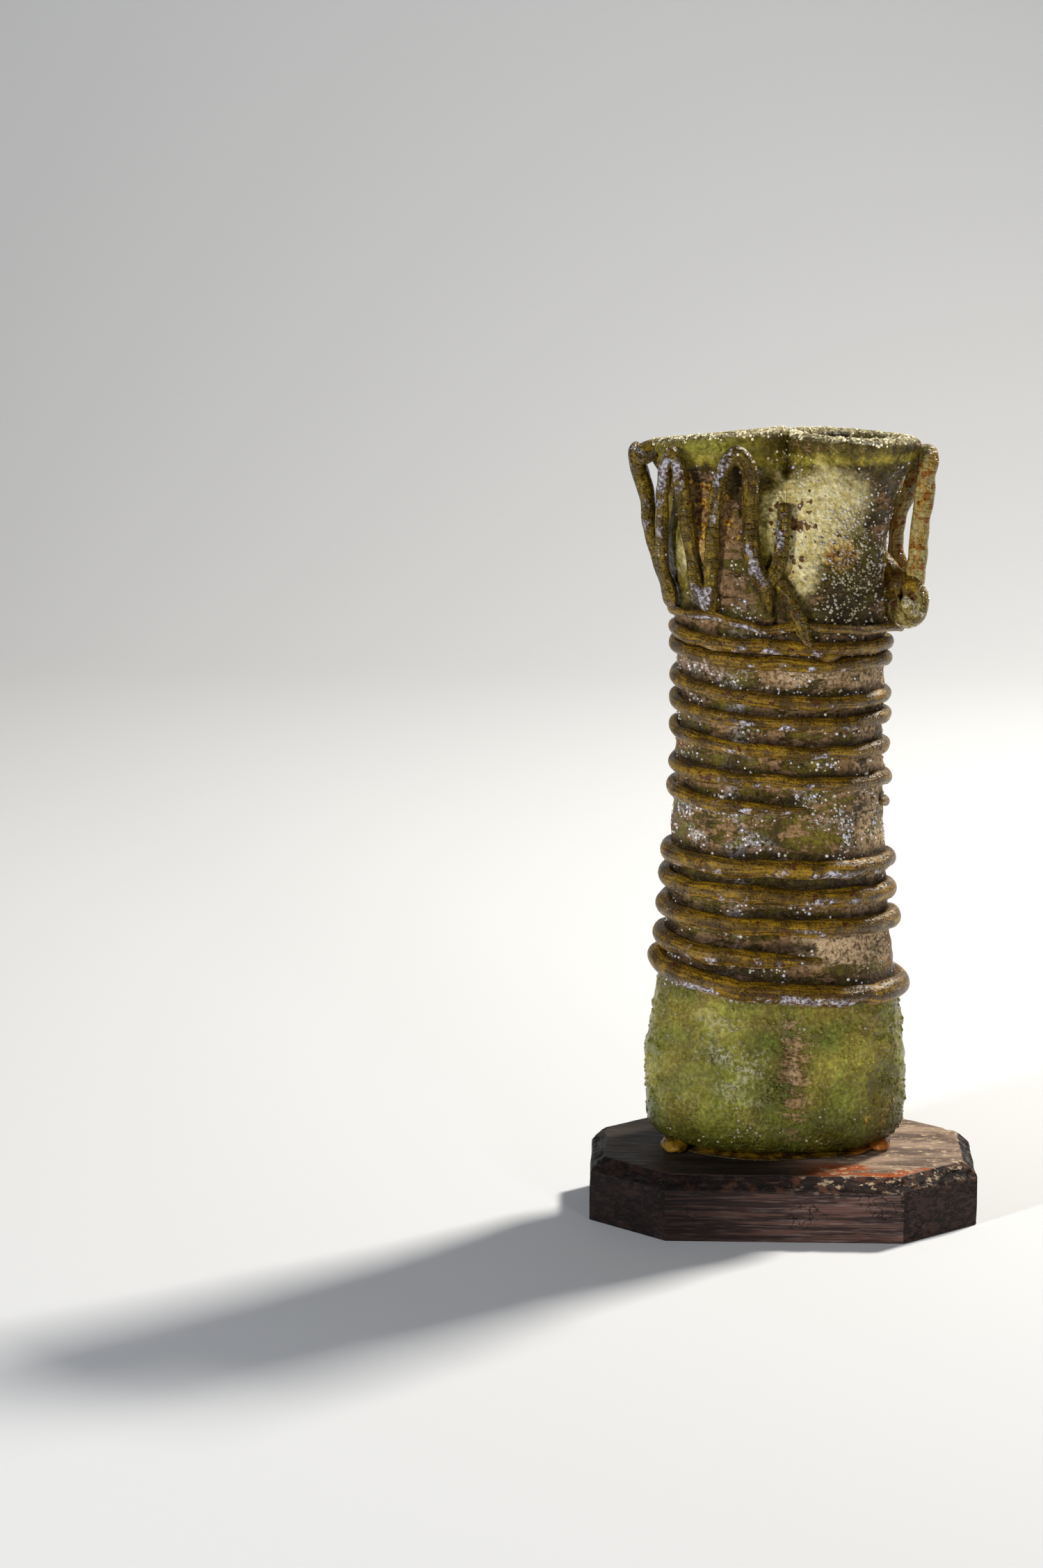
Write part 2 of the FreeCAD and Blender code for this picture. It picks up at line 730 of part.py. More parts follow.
# The left one starts at a broken end in front and runs round to the left end. The right one
# starts on the shoulder behind and runs round to the right end and down to the knob.
left_tube = zigzag(
    "left_zigzag_tube", "left_zigzag", left_lip,
    beside_tube(LEFT_START_ANGLE, size("zigzag_stub_height"), foot_clear), LEFT_BENDS,
    beside_tube(LEFT_END_ANGLE, size("zigzag_foot_height"), foot_clear))
left_zigzag = cut_by_all("left_zigzag_trail", left_tube, [double_tube])
right_tube = zigzag(
    "right_zigzag_tube", "right_zigzag", right_lip,
    beside_tube(RIGHT_START_ANGLE, size("zigzag_foot_height"), foot_clear), RIGHT_BENDS,
    Vector(size("zigzag_end_reach"), 0, size("knob_height")))
right_zigzag = cut_by_all("right_zigzag_trail", right_tube, [double_tube])

# Knob: the blob that the right thread ends on, seated on the shoulder and the collar.
blob = document.addObject("Part::Ellipsoid", "knob_blob")
bind(blob, {
    "Radius1": "sizes.knob_rise / 2",
    "Radius2": "sizes.knob_width / 2",
    "Radius3": "sizes.knob_depth / 2",
})
blob.Placement = FreeCAD.Placement(AXIS + Vector(size("knob_reach"), 0, size("knob_height")), FreeCAD.Rotation())
knob = cut_by_all("handle_knob", blob, [double_tube, collar, right_zigzag])

# Front tail: a short thread from the front foot of the left zigzag down to the collar.
FRONT_ANGLE = 270
tail_top = beside_tube(FRONT_ANGLE, size("tail_top_height"), size("tail_clear"))
tail_foot = beside_tube(FRONT_ANGLE, size("tail_foot_height"), size("tail_clear"))
tail_top.x -= size("tail_start")
tail_foot.x += size("tail_drift")
tail_tube = thread("front_tail_tube", Part.Wire(Part.LineSegment(tail_top, tail_foot).toShape()), size("tail_bead"))
front_tail = cut_by_all("front_tail", tail_tube, [trimmed, left_zigzag, collar])

document.recompute()

NODES = [stand, foot_pad, double_tube, collar, upper_trail, lower_trail, base_trail,
         left_zigzag, right_zigzag, knob, front_tail]
for thing in document.Objects:
    failed = {"Invalid", "Error"} & set(thing.State)
    if failed:
        raise RuntimeError(f"{thing.Name} failed: {thing.getStatusString()}")
os.makedirs("parts", exist_ok=True)
for node in NODES:
    node.Label = node.Name
    shape = node.Shape
    if shape.isNull() or not shape.isValid():
        raise RuntimeError(f"{node.Label} has no sound shape")
    print(f"{node.Label}: {len(shape.Solids)} solid, {shape.Volume:.1f} cubic mm")
    shape.exportStep(f"parts/{node.Label}.step")
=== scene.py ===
import json
import bpy
import numpy as np
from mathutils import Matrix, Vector

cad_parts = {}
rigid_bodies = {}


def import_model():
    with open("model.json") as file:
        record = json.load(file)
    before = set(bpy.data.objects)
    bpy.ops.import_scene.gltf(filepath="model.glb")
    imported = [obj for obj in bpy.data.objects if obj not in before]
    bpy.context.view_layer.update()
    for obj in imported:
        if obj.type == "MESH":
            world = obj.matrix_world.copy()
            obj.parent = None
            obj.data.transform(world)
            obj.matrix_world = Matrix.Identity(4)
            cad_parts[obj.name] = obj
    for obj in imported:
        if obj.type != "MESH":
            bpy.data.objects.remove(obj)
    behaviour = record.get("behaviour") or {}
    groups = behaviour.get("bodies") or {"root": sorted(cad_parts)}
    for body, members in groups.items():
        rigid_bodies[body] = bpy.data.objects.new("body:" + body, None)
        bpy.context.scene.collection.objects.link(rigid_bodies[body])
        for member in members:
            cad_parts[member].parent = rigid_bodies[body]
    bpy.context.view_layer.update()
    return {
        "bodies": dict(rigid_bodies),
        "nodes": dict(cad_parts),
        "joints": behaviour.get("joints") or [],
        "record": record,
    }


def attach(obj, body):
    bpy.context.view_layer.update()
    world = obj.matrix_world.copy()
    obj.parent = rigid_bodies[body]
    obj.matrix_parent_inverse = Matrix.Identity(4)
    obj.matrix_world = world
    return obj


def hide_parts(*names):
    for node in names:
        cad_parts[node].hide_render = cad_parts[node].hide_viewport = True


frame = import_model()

# Camera, floor and light. A long lens looks slightly down on the vessel, which stands to the right
# of the picture on a pale sheet that curves up behind it. A large soft lamp stands behind it to
# the right, with a weaker one in front on each side.
view_camera = bpy.data.objects.new("view_camera", bpy.data.cameras.new("view_camera"))
view_camera.location = (-0.019, -0.6209, 0.1981)
view_camera.rotation_euler = (np.radians(78.4), 0, np.radians(2.2))
view_camera.data.lens = 90
view_camera.data.sensor_width = 36
view_camera.data.clip_start = 0.05
bpy.context.scene.collection.objects.link(view_camera)
bpy.context.scene.camera = view_camera
bpy.context.scene.view_settings.view_transform = "Standard"


def grid_faces(rows, columns, closed):
    """Quads between neighbours on a grid numbered row by row; closed joins the last column to the first."""
    last = columns if closed else columns - 1
    row, column = np.meshgrid(np.arange(rows - 1), np.arange(last), indexing="ij")
    here, right = row * columns + column, row * columns + (column + 1) % columns
    return np.stack([here, right, right + columns, here + columns], axis=-1).reshape(-1, 4)


def millimetre_mesh(name, points, quads, triangles=None, smooth=True):
    """An object whose points are given in millimetres, linked to the scene and smooth shaded."""
    mesh = bpy.data.meshes.new(name)
    faces = quads.tolist() + ([] if triangles is None else triangles.tolist())
    mesh.from_pydata((np.asarray(points, float).reshape(-1, 3) / 1000).tolist(), [], faces)
    mesh.polygons.foreach_set("use_smooth", np.full(len(faces), smooth))
    mesh.update()
    piece = bpy.data.objects.new(name, mesh)
    bpy.context.scene.collection.objects.link(piece)
    return piece


def new_material(name):
    """A material whose node tree the next nodes go into, and its Principled shader."""
    global tree
    material = bpy.data.materials.new(name)
    material.use_nodes = True
    tree = material.node_tree
    return material, tree.nodes["Principled BSDF"]


SWEEP_WIDTH, SWEEP_FRONT, SWEEP_BACK, SWEEP_BEND, SWEEP_RISE = 3000, -1500, 500, 350, 1500
bend = np.linspace(0, np.pi / 2, 24)
curve = np.stack([SWEEP_BACK + SWEEP_BEND * np.sin(bend), SWEEP_BEND * (1 - np.cos(bend))], axis=1)
sweep = np.concatenate([[[SWEEP_FRONT, 0], [0, 0]], curve, [[SWEEP_BACK + SWEEP_BEND, SWEEP_RISE]]])
sweep_points = np.stack([np.insert(sweep, 0, x, axis=1) for x in (-SWEEP_WIDTH / 2, SWEEP_WIDTH / 2)], axis=1)
pale_sheet = millimetre_mesh("pale_sheet", sweep_points, grid_faces(len(sweep), 2, False))
sheet_paper, shader = new_material("sheet_paper")
shader.inputs["Base Color"].default_value = (0.765, 0.79, 0.83, 1)
shader.inputs["Roughness"].default_value = 0.9
pale_sheet.data.materials.append(sheet_paper)

world = bpy.data.worlds.new("soft_room")
bpy.context.scene.world = world
world.use_nodes = True
world.node_tree.nodes["Background"].inputs["Color"].default_value = (0.75, 0.77, 0.8, 1)
world.node_tree.nodes["Background"].inputs["Strength"].default_value = 0.035


def soft_lamp(name, place, aim, width, tall, watts, colour):
    """A rectangular area lamp at a place in metres, turned to its aim."""
    lamp = bpy.data.lights.new(name, "AREA")
    lamp.shape = "RECTANGLE"
    lamp.size = width
    lamp.size_y = tall
    lamp.energy = watts
    lamp.color = colour
    holder = bpy.data.objects.new(name, lamp)
    holder.location = place
    holder.rotation_euler = (Vector(aim) - Vector(place)).to_track_quat("-Z", "Y").to_euler()
    bpy.context.scene.collection.objects.link(holder)


AIM = (0, 0, 0.06)
soft_lamp("back_right_lamp", (0.33, 0.3, 0.57), AIM, 0.09, 0.09, 6.6, (1, 0.94, 0.84))
soft_lamp("front_left_lamp", (-0.5, -0.52, 0.22), AIM, 0.06, 0.22, 3.5, (0.97, 0.98, 1))
soft_lamp("front_right_lamp", (0.3, -0.62, 0.14), AIM, 0.1, 0.2, 0.8, (1, 0.97, 0.92))


# Stand: an eight-sided block of dark rosewood, lacquered nearly black. Its top edge is bevelled,
# worn and chipped, and fine cracks cross its front. It is one piece of wood with the grain along it.
STAND_HALF_WIDTH, STAND_HALF_DEPTH, STAND_HEIGHT = 31.5, 20, 10.6
CUT_ACROSS, CUT_ALONG, BEVEL = 12.4, 10.6, 2.3


def sine_noise(points, cell, seed, waves=28):
    """Smooth noise of about -1 to 1: a mean of sine waves of chance directions, about a cell long in mm."""
    chance = np.random.default_rng(seed)
    ways = chance.normal(size=(waves, 3))
    rates = (2 * np.pi / cell) * chance.uniform(0.6, 1.5, (waves, 1))
    ways *= rates / np.linalg.norm(ways, axis=1, keepdims=True)
    phases = chance.uniform(0, 2 * np.pi, waves)
    return np.sin(points @ ways.T + phases).sum(axis=-1) / np.sqrt(waves / 2) / 1.6


def unit(ways):
    """Directions of length 1."""
    return ways / np.maximum(np.linalg.norm(ways, axis=-1, keepdims=True), 1e-9)


def clamp(value):
    """The value held between 0 and 1."""
    return np.clip(value, 0, 1)


def fan(ring, pole, flip=False):
    """Triangles between each neighbouring pair of a ring and a pole."""
    pair = (np.roll(ring, -1), ring) if flip else (ring, np.roll(ring, -1))
    return np.stack([*pair, np.full(len(ring), pole)], axis=1)


def stand_surface(per_side, edge_radius):
    """The profile of the block carried round its octagon.

    The octagon's eight corners are joined by straight runs of equal count. At each row of the
    profile the whole octagon is drawn in by that row's inset, measured square to its sides, and
    lies at that row's height. The rows cross the underside, climb the side, round the bevel and
    cross the top to its middle.
    """
    corner_x, corner_y = STAND_HALF_WIDTH - CUT_ACROSS, STAND_HALF_DEPTH - CUT_ALONG
    half = np.array([[STAND_HALF_WIDTH, -corner_y], [STAND_HALF_WIDTH, corner_y],
                     [corner_x, STAND_HALF_DEPTH], [-corner_x, STAND_HALF_DEPTH]])
    corners = np.concatenate([half, -half])
    along = unit(np.roll(corners, -1, axis=0) - corners)
    outward = np.stack([along[:, 1], -along[:, 0]], axis=1)
    before = np.roll(outward, 1, axis=0)
    miter = (outward + before) / (1 + (outward * before).sum(axis=1, keepdims=True))
    # Denser points near each corner, so that the edges can be rounded.
    share = (1 - np.cos(np.linspace(0, np.pi, per_side, endpoint=False)))[:, None] / 2
    bend = np.linspace(0, np.pi / 2, 5)
    side_rows = np.linspace(edge_radius, STAND_HEIGHT - BEVEL - 0.3, 22)[1:]
    bevel_rows = np.linspace(0, 1, 16)
    top_rows = np.linspace(BEVEL + 1.2, 19.4, 34)
    insets = np.concatenate([[18, 12, 6, 2], edge_radius * (1 - np.sin(bend)), 0 * side_rows,
                             0.15 + (BEVEL - 0.3) * bevel_rows, [BEVEL + 0.2, BEVEL + 0.6], top_rows])
    heights = np.concatenate([np.zeros(4), edge_radius * (1 - np.cos(bend)), side_rows,
                              STAND_HEIGHT - BEVEL + 0.12 + (BEVEL - 0.27) * bevel_rows,
                              [STAND_HEIGHT - 0.03, STAND_HEIGHT], STAND_HEIGHT + 0 * top_rows])
    drawn_in = corners - insets[:, None, None] * miter
    start, end = drawn_in[:, :, None], np.roll(drawn_in, -1, axis=1)[:, :, None]
    flat = (start * (1 - share) + end * share).reshape(len(insets), -1, 2)
    tall = np.broadcast_to(heights[:, None, None], flat.shape[:2] + (1,))
    return np.concatenate([flat, tall], axis=-1), insets, heights


stand_grid, stand_insets, stand_heights = stand_surface(44, 0.45)
rows, columns = stand_grid.shape[:2]
plan_reach = np.hypot(stand_grid[..., 0], stand_grid[..., 1])[..., None]
inward = -stand_grid * np.array([1, 1, 0]) / np.maximum(plan_reach, 1e-6)
edge_row = np.exp(-((stand_heights - 9.2) / 1.3) ** 2) * (stand_insets < BEVEL + 0.7)
chips = clamp(sine_noise(stand_grid, 3.2, 11) - 0.35) + 0.6 * clamp(sine_noise(stand_grid, 1.4, 12) - 0.3)
worn = 0.45 * edge_row[:, None] * chips
softened = 0.1 + 0.08 * sine_noise(stand_grid, 9, 13)
side_row = ((stand_heights > 0.4) & (stand_insets < 2.6)).astype(float)[:, None]
stand_grid = stand_grid + inward * (worn + softened * side_row)[..., None]
on_top = ((stand_insets > BEVEL + 0.5) & (stand_heights > 5))[:, None]
stand_grid[..., 2] -= 0.5 * worn + 0.07 * on_top * (1 + sine_noise(stand_grid, 7, 14))
middles = np.array([[0, 0, STAND_HEIGHT - 0.07], [0, 0, 0]])
stand_points = np.concatenate([stand_grid.reshape(-1, 3), middles])
first_ring = np.arange(columns)
pole = rows * columns
stand_fans = np.concatenate([fan(first_ring + pole - columns, pole), fan(first_ring, pole + 1, flip=True)])
rosewood_block = millimetre_mesh("rosewood_block", stand_points, grid_faces(rows, columns, True), stand_fans)


class Value:
    """A number in the newest material's node tree. Each sum or product with one adds a Math node."""

    def __init__(self, socket):
        self.socket = socket

    def __add__(self, other):
        return combine("ADD", self, other)

    def __sub__(self, other):
        return combine("SUBTRACT", self, other)

    def __rsub__(self, other):
        return combine("SUBTRACT", other, self)

    def __mul__(self, other):
        return combine("MULTIPLY", self, other)

    __radd__ = __add__
    __rmul__ = __mul__


def fill(node, **inputs):
    """Sets inputs by name, or by number as in i6, each to a number, a colour or another node's output."""
    for key, value in inputs.items():
        numbered = key[0] == "i" and key[1:].isdigit()
        socket = node.inputs[int(key[1:]) if numbered else key.replace("_", " ")]
        value = value.socket if isinstance(value, Value) else value
        if isinstance(value, bpy.types.NodeSocket):
            tree.links.new(value, socket)
        else:
            socket.default_value = (*value, 1) if socket.type == "RGBA" else value


def add_node(kind, settings=None, **inputs):
    """A node of a kind with its settings and inputs."""
    node = tree.nodes.new("ShaderNode" + kind)
    for key, value in (settings or {}).items():
        setattr(node, key, value)
    fill(node, **inputs)
    return node


def axes(vector):
    """The x, y and z of a vector."""
    return [Value(part) for part in add_node("SeparateXYZ", Vector=vector).outputs]


def stretched(scale=(1, 1, 1), place=None, turn=(0, 0, 0)):
    """Object coordinates, or others, turned and stretched by three factors."""
    place = place or add_node("TexCoord").outputs["Object"]
    return add_node("Mapping", Vector=place, Rotation=turn, Scale=scale).outputs["Vector"]


def noise(place, scale, detail=3, rough=0.55, distortion=0):
    """A noise texture's value on some coordinates."""
    return Value(add_node("TexNoise", Vector=place, Scale=scale, Detail=detail, Roughness=rough,
                          Distortion=distortion).outputs["Fac"])


def wander(place, amount, noise_place, scale, detail=2):
    """Coordinates drawn a little way towards a noise's colour, so that what lies on them turns ragged."""
    colour = add_node("TexNoise", Vector=noise_place, Scale=scale, Detail=detail).outputs["Color"]
    return add_node("Mix", {"data_type": "VECTOR"}, i0=amount, i4=place, i5=colour).outputs[1]


def between(value, low, high, start=0, end=1):
    """The value carried from low..high to start..end, smoothly and clamped."""
    return Value(add_node("MapRange", {"interpolation_type": "SMOOTHSTEP"},
                          i0=value, i1=low, i2=high, i3=start, i4=end).outputs["Result"])


def combine(operation, first, second):
    """A Math node's result."""
    return Value(add_node("Math", {"operation": operation}, i0=first, i1=second).outputs[0])


def larger(first, *others):
    """The largest of some values."""
    for other in others:
        first = combine("MAXIMUM", first, other)
    return first


def blend(share, first, second, mode="MIX"):
    """A mix of two colours by a share."""
    settings = {"data_type": "RGBA", "blend_type": mode}
    return add_node("Mix", settings, i0=share, i6=first, i7=second).outputs[2]


def coats(skin, *rows):
    """Colours laid over a skin one after another, each where its mask is."""
    for mask, colour in rows:
        skin = blend(mask, skin, colour)
    return skin


def bump(height, distance, strength):
    """The normal of a surface raised by a height."""
    return add_node("Bump", Height=height, Distance=distance, Strength=strength).outputs["Normal"]


rosewood, shader = new_material("rosewood")
along_grain = stretched((0.07, 1, 1.5))
plain = stretched()
at_x, at_y, at_z = axes(add_node("TexCoord").outputs["Object"])
face_x, _, face_z = axes(add_node("NewGeometry").outputs["Normal"])
streak = noise(along_grain, 900, 5, 0.62, 0.6)
fine_streak = noise(along_grain, 2600, 4, 0.6)
top_face = between(face_z, 0.85, 0.97)
top_wood = blend(between(noise(stretched((0.25, 1, 1)), 260, 6, 0.65), 0.36, 0.66),
                 (0.13, 0.09, 0.068), (0.42, 0.3, 0.22))
patch = noise(stretched((0.35, 1, 1)), 150, 4, 0.6)
red = between(patch, 0.48, 0.55) * between(at_x, -0.001, 0.008) * between(at_y, -0.009, -0.013)
on_bevel = between(at_z, 0.008, 0.0086) * between(face_z, 0.92, 0.8)
lacquer = blend(between(noise(plain, 420, 5, 0.65), 0.5, 0.6), (0.006, 0.005, 0.005), (0.09, 0.035, 0.02))
chip_noise = noise(stretched((0.6, 1, 1)), 900, 6, 0.7)
chip = between(chip_noise, 0.555, 0.6) * between(at_z, 0.0072, 0.0098) * between(at_x, -0.002, 0.01, 0.06, 1)
# Painted shade: the vessel's shadow over the left and front of the top, a darkening towards the block's left
# end, and darker side faces turned left or right.
lit_side = at_x + 0.35 * at_y
painted_shade = larger(between(lit_side, -0.026, 0, 0.8, 0), top_face * between(lit_side, -0.008, 0.009, 0.9, 0),
             between(face_x, 0.4, 0.7, 0, 0.66), between(face_x, -0.4, -0.7, 0, 0.95))
crack_place = wander(stretched((1, 1, 0.28), turn=(0, 0.35, 0)), 0.01, plain, 330, 4)
crack = add_node("TexVoronoi", {"feature": "DISTANCE_TO_EDGE"}, Vector=crack_place, Scale=190)
crack_line = larger(between(crack.outputs["Distance"], 0, 0.032), between(noise(plain, 75, 2), 0.6, 0.52))
wood = coats(blend(between(streak, 0.44, 0.62), (0.034, 0.021, 0.018), (0.13, 0.068, 0.053)),
             (between(fine_streak, 0.52, 0.66, 0, 0.45), (0.24, 0.18, 0.165)),
             (top_face, blend(red, top_wood, (0.36, 0.085, 0.022))),
             (0.85 * on_bevel, lacquer),
             (0.9 * chip, (0.58, 0.43, 0.28)),
             (painted_shade, (0.004, 0.003, 0.003)),
             (between(at_z, 0.009, 0.008, 0, 0.75) * (1 - crack_line), (0.006, 0.004, 0.004)))
relief = 0.6 * streak + 0.35 * crack_line + chip_noise * (0.9 * on_bevel)
fill(shader, Base_Color=wood, Roughness=between(fine_streak, 0.3, 0.7, 0.36, 0.62), Specular_IOR_Level=0.1,
     Normal=bump(relief, 0.00035, 0.9))
rosewood_block.data.materials.append(rosewood)
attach(rosewood_block, "stand")
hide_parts("wooden_stand")


# Double tube: one bubble of olive-green glass, pinched down its middle into two bores and rolled
# over into two thick lips. Weather has pitted it and left soil, amber stains and pearly beads.
FOOT = np.array([-1.2, 2, 10.6])
# Height above the stand, width and depth of the outside, its pinch, and its crease's shift in half widths.
LEVELS = np.array([
    (0.5, 33, 19.6, 0.05, 0.08), (1.3, 37.2, 23, 0.05, 0.08), (2.9, 41, 26, 0.05, 0.08),
    (5.6, 42.8, 28.4, 0.07, 0.09), (10.6, 43.2, 29.6, 0.09, 0.09), (17.5, 42.2, 29.6, 0.1, 0.09),
    (26, 39.9, 28.6, 0.1, 0.07), (35, 37.2, 27.6, 0.09, 0.03), (46, 35.4, 26.8, 0.09, -0.05),
    (63, 33.8, 26.2, 0.09, -0.12), (79, 33.4, 26.6, 0.09, -0.14), (89, 34.2, 27.2, 0.09, -0.1),
    (98, 33.9, 25.2, 0.09, -0.05), (104.5, 35, 22.6, 0.1, 0), (109, 37.4, 20.6, 0.22, 0.01),
    (112.4, 41.8, 18.8, 0.5, 0.02), (115.4, 43.7, 18.8, 0.86, 0.02)]).T
BASE_HEIGHT, LIP_HEIGHT = LEVELS[0, 0], LEVELS[0, -1]
WALL, SEPTUM, LIP_BEAD, FLOOR_THICKNESS = 1.8, 1.6, 2.9, 3.3


def eased(value, knots, heights):
    """A smooth curve through knots: a cubic on each span, with the mean of its sides' slopes at each knot."""
    value = np.clip(value, knots[0], knots[-1])
    slopes = np.diff(heights) / np.diff(knots)
    at_knot = np.concatenate([slopes[:1], (slopes[:-1] + slopes[1:]) / 2, slopes[-1:]])
    span = np.clip(np.searchsorted(knots, value, side="right") - 1, 0, len(knots) - 2)
    width = knots[span + 1] - knots[span]
    t = (value - knots[span]) / width
    return ((2 * t ** 3 - 3 * t ** 2 + 1) * heights[span] + (t ** 3 - 2 * t ** 2 + t) * width * at_knot[span]
            + (3 * t ** 2 - 2 * t ** 3) * heights[span + 1] + (t ** 3 - t ** 2) * width * at_knot[span + 1])


def tube_sizes(height):
    """Half width, half depth, pinch and crease place of the outside at heights above the stand."""
    width, depth, pinch, shift = (eased(height, LEVELS[0], sizes) for sizes in LEVELS[1:])
    return width / 2, depth / 2, pinch, shift * width / 2


def lobe_place(side, half_width, crease):
    """Middle and half width of a lobe, which lies between an end and the crease. Side is +1 for the
    right lobe, -1 for the left."""
    return (side * half_width + crease) / 2, np.abs(side * half_width - crease) / 2


def lobe_outline(side, angle, height):
    """A lobe's point at its own angle: across it a circle's cosine, and in depth the whole oval's
    depth blended with the lobe's own by the pinch."""
    half_width, half_depth, pinch, crease = tube_sizes(height)
    middle, half = lobe_place(side, half_width, crease)
    x = middle + side * half * np.cos(angle)
    oval = np.sqrt(clamp(1 - (x / half_width) ** 2))
    lobe = np.abs(np.sin(angle)) ** (3.2 - 2.4 * pinch)
    return x, half_depth * ((1 - pinch) * oval + pinch * lobe)


LIP_RISE = {-1: (1.1, 1.1), 1: (0.6, 0.2)}


def lip_plane(side, x, y):
    """Height of a lip's leaning plane above the stand: it rises inward and to the front."""
    half_width, half_depth, _, crease = tube_sizes(LIP_HEIGHT)
    middle, half = lobe_place(side, half_width, crease)
    inward, front = LIP_RISE[side]
    return LIP_HEIGHT - side * inward * (x - middle) / half - front * y / half_depth


# Outside. Columns run from the right end round the back, the left end and the front; M steps a
# quarter. Rows climb from the middle of the base to under the lips.
M = 68
WALL_ROWS = 270
LIP_START, LIP_END, LIP_ROWS = np.radians(-52), np.radians(214), 15
BACK = np.arange(M + 1) * np.pi / M
column_side = np.concatenate([np.ones(M + 1), -np.ones(2 * M - 1), np.ones(M)])
column_angle = np.concatenate([BACK, BACK[::-1][1:], -BACK[1:-1], -BACK[::-1][:-1]])
column_front = np.where(np.arange(4 * M) > 2 * M, -1, 1)
row_share = np.linspace(0, 1, WALL_ROWS)[:, None]
top_x, top_depth = lobe_outline(column_side, column_angle, np.full(4 * M, LIP_HEIGHT))
right_plane, left_plane = (lip_plane(side, top_x, top_depth * column_front) for side in (1, -1))
top_height = np.where(column_side > 0, right_plane, left_plane)
for crease_column in (M, 3 * M):
    top_height[crease_column] = (right_plane + left_plane)[crease_column] / 2
top_height = top_height + LIP_BEAD / 2 * np.sin(LIP_START)
wall_height = BASE_HEIGHT + (top_height - BASE_HEIGHT) * row_share
wall_x, wall_depth = lobe_outline(column_side, column_angle, np.minimum(wall_height, LIP_HEIGHT))
outside = np.stack([wall_x, wall_depth * column_front, wall_height], axis=-1)
base_share = np.array([0.25, 0.5, 0.75, 0.93])[:, None, None]
base = outside[:1] * np.array([1, 1, 0]) * base_share + np.array([0, 0, BASE_HEIGHT])
along = np.roll(outside, -1, axis=1) - np.roll(outside, 1, axis=1)
outward = unit(np.stack([along[..., 1], -along[..., 0], 0 * along[..., 0]], axis=-1))
settle = clamp(row_share * 14) * clamp((1 - row_share) * 9)
left_bulge = np.exp(-((wall_height - 101.5) / 7.5) ** 2) * clamp(-wall_x / 16) ** 2
on_bulb = clamp((29 - wall_height) / 4)
leaning = np.array([[0.6, 0, 0.65], [0, 1, 0], [-0.3, 0, 1.3]])
hand_made = (0.22 * sine_noise(outside, 15, 21) + 0.12 * sine_noise(outside * np.array([1, 1, 2.2]), 7, 22)
             - 0.2 + 2.2 * left_bulge + (0.03 + 0.09 * on_bulb) * sine_noise(outside @ leaning, 2.4, 23))
outside = outside + outward * (hand_made * settle)[..., None]

# Each mouth's ring is its part of the top row and the chain of points where the two lips meet.
CHAIN, CHAIN_RISE = 12, 2.1
chain_share = np.arange(1, CHAIN)[:, None] / CHAIN
chain = outside[-1, M] * (1 - chain_share) + outside[-1, 3 * M] * chain_share
chain[:, 2] += CHAIN_RISE * clamp(np.sin(np.pi * chain_share[:, 0]) * 2.2)
outer_rows = np.concatenate([base, outside])
outer_count = outer_rows.shape[0] * 4 * M
chain_index = outer_count + np.arange(CHAIN - 1)
top_row = (outer_rows.shape[0] - 1) * 4 * M + np.arange(4 * M)
rings = {1: np.concatenate([top_row[:M + 1], chain_index, top_row[3 * M:]]),
         -1: np.concatenate([top_row[M:3 * M + 1], chain_index[::-1]])}
BORE_ROWS, CUP_ROWS, CUP_HEIGHT = 46, 8, 7


def bore_sizes(side, height):
    """A bore's middle, half width and half depth: a wall inside the outside, half a septum off the crease."""
    half_width, _, _, crease = tube_sizes(height)
    outer, inner = side * (half_width - WALL), crease + side * SEPTUM / 2
    middle = (outer + inner) / 2
    lobe_middle, lobe_half = lobe_place(side, half_width, crease)
    turn = np.arccos(np.clip((middle - lobe_middle) / (side * lobe_half), -1, 1))
    _, depth = lobe_outline(side, turn, height)
    return middle, np.abs(outer - inner) / 2, depth - WALL


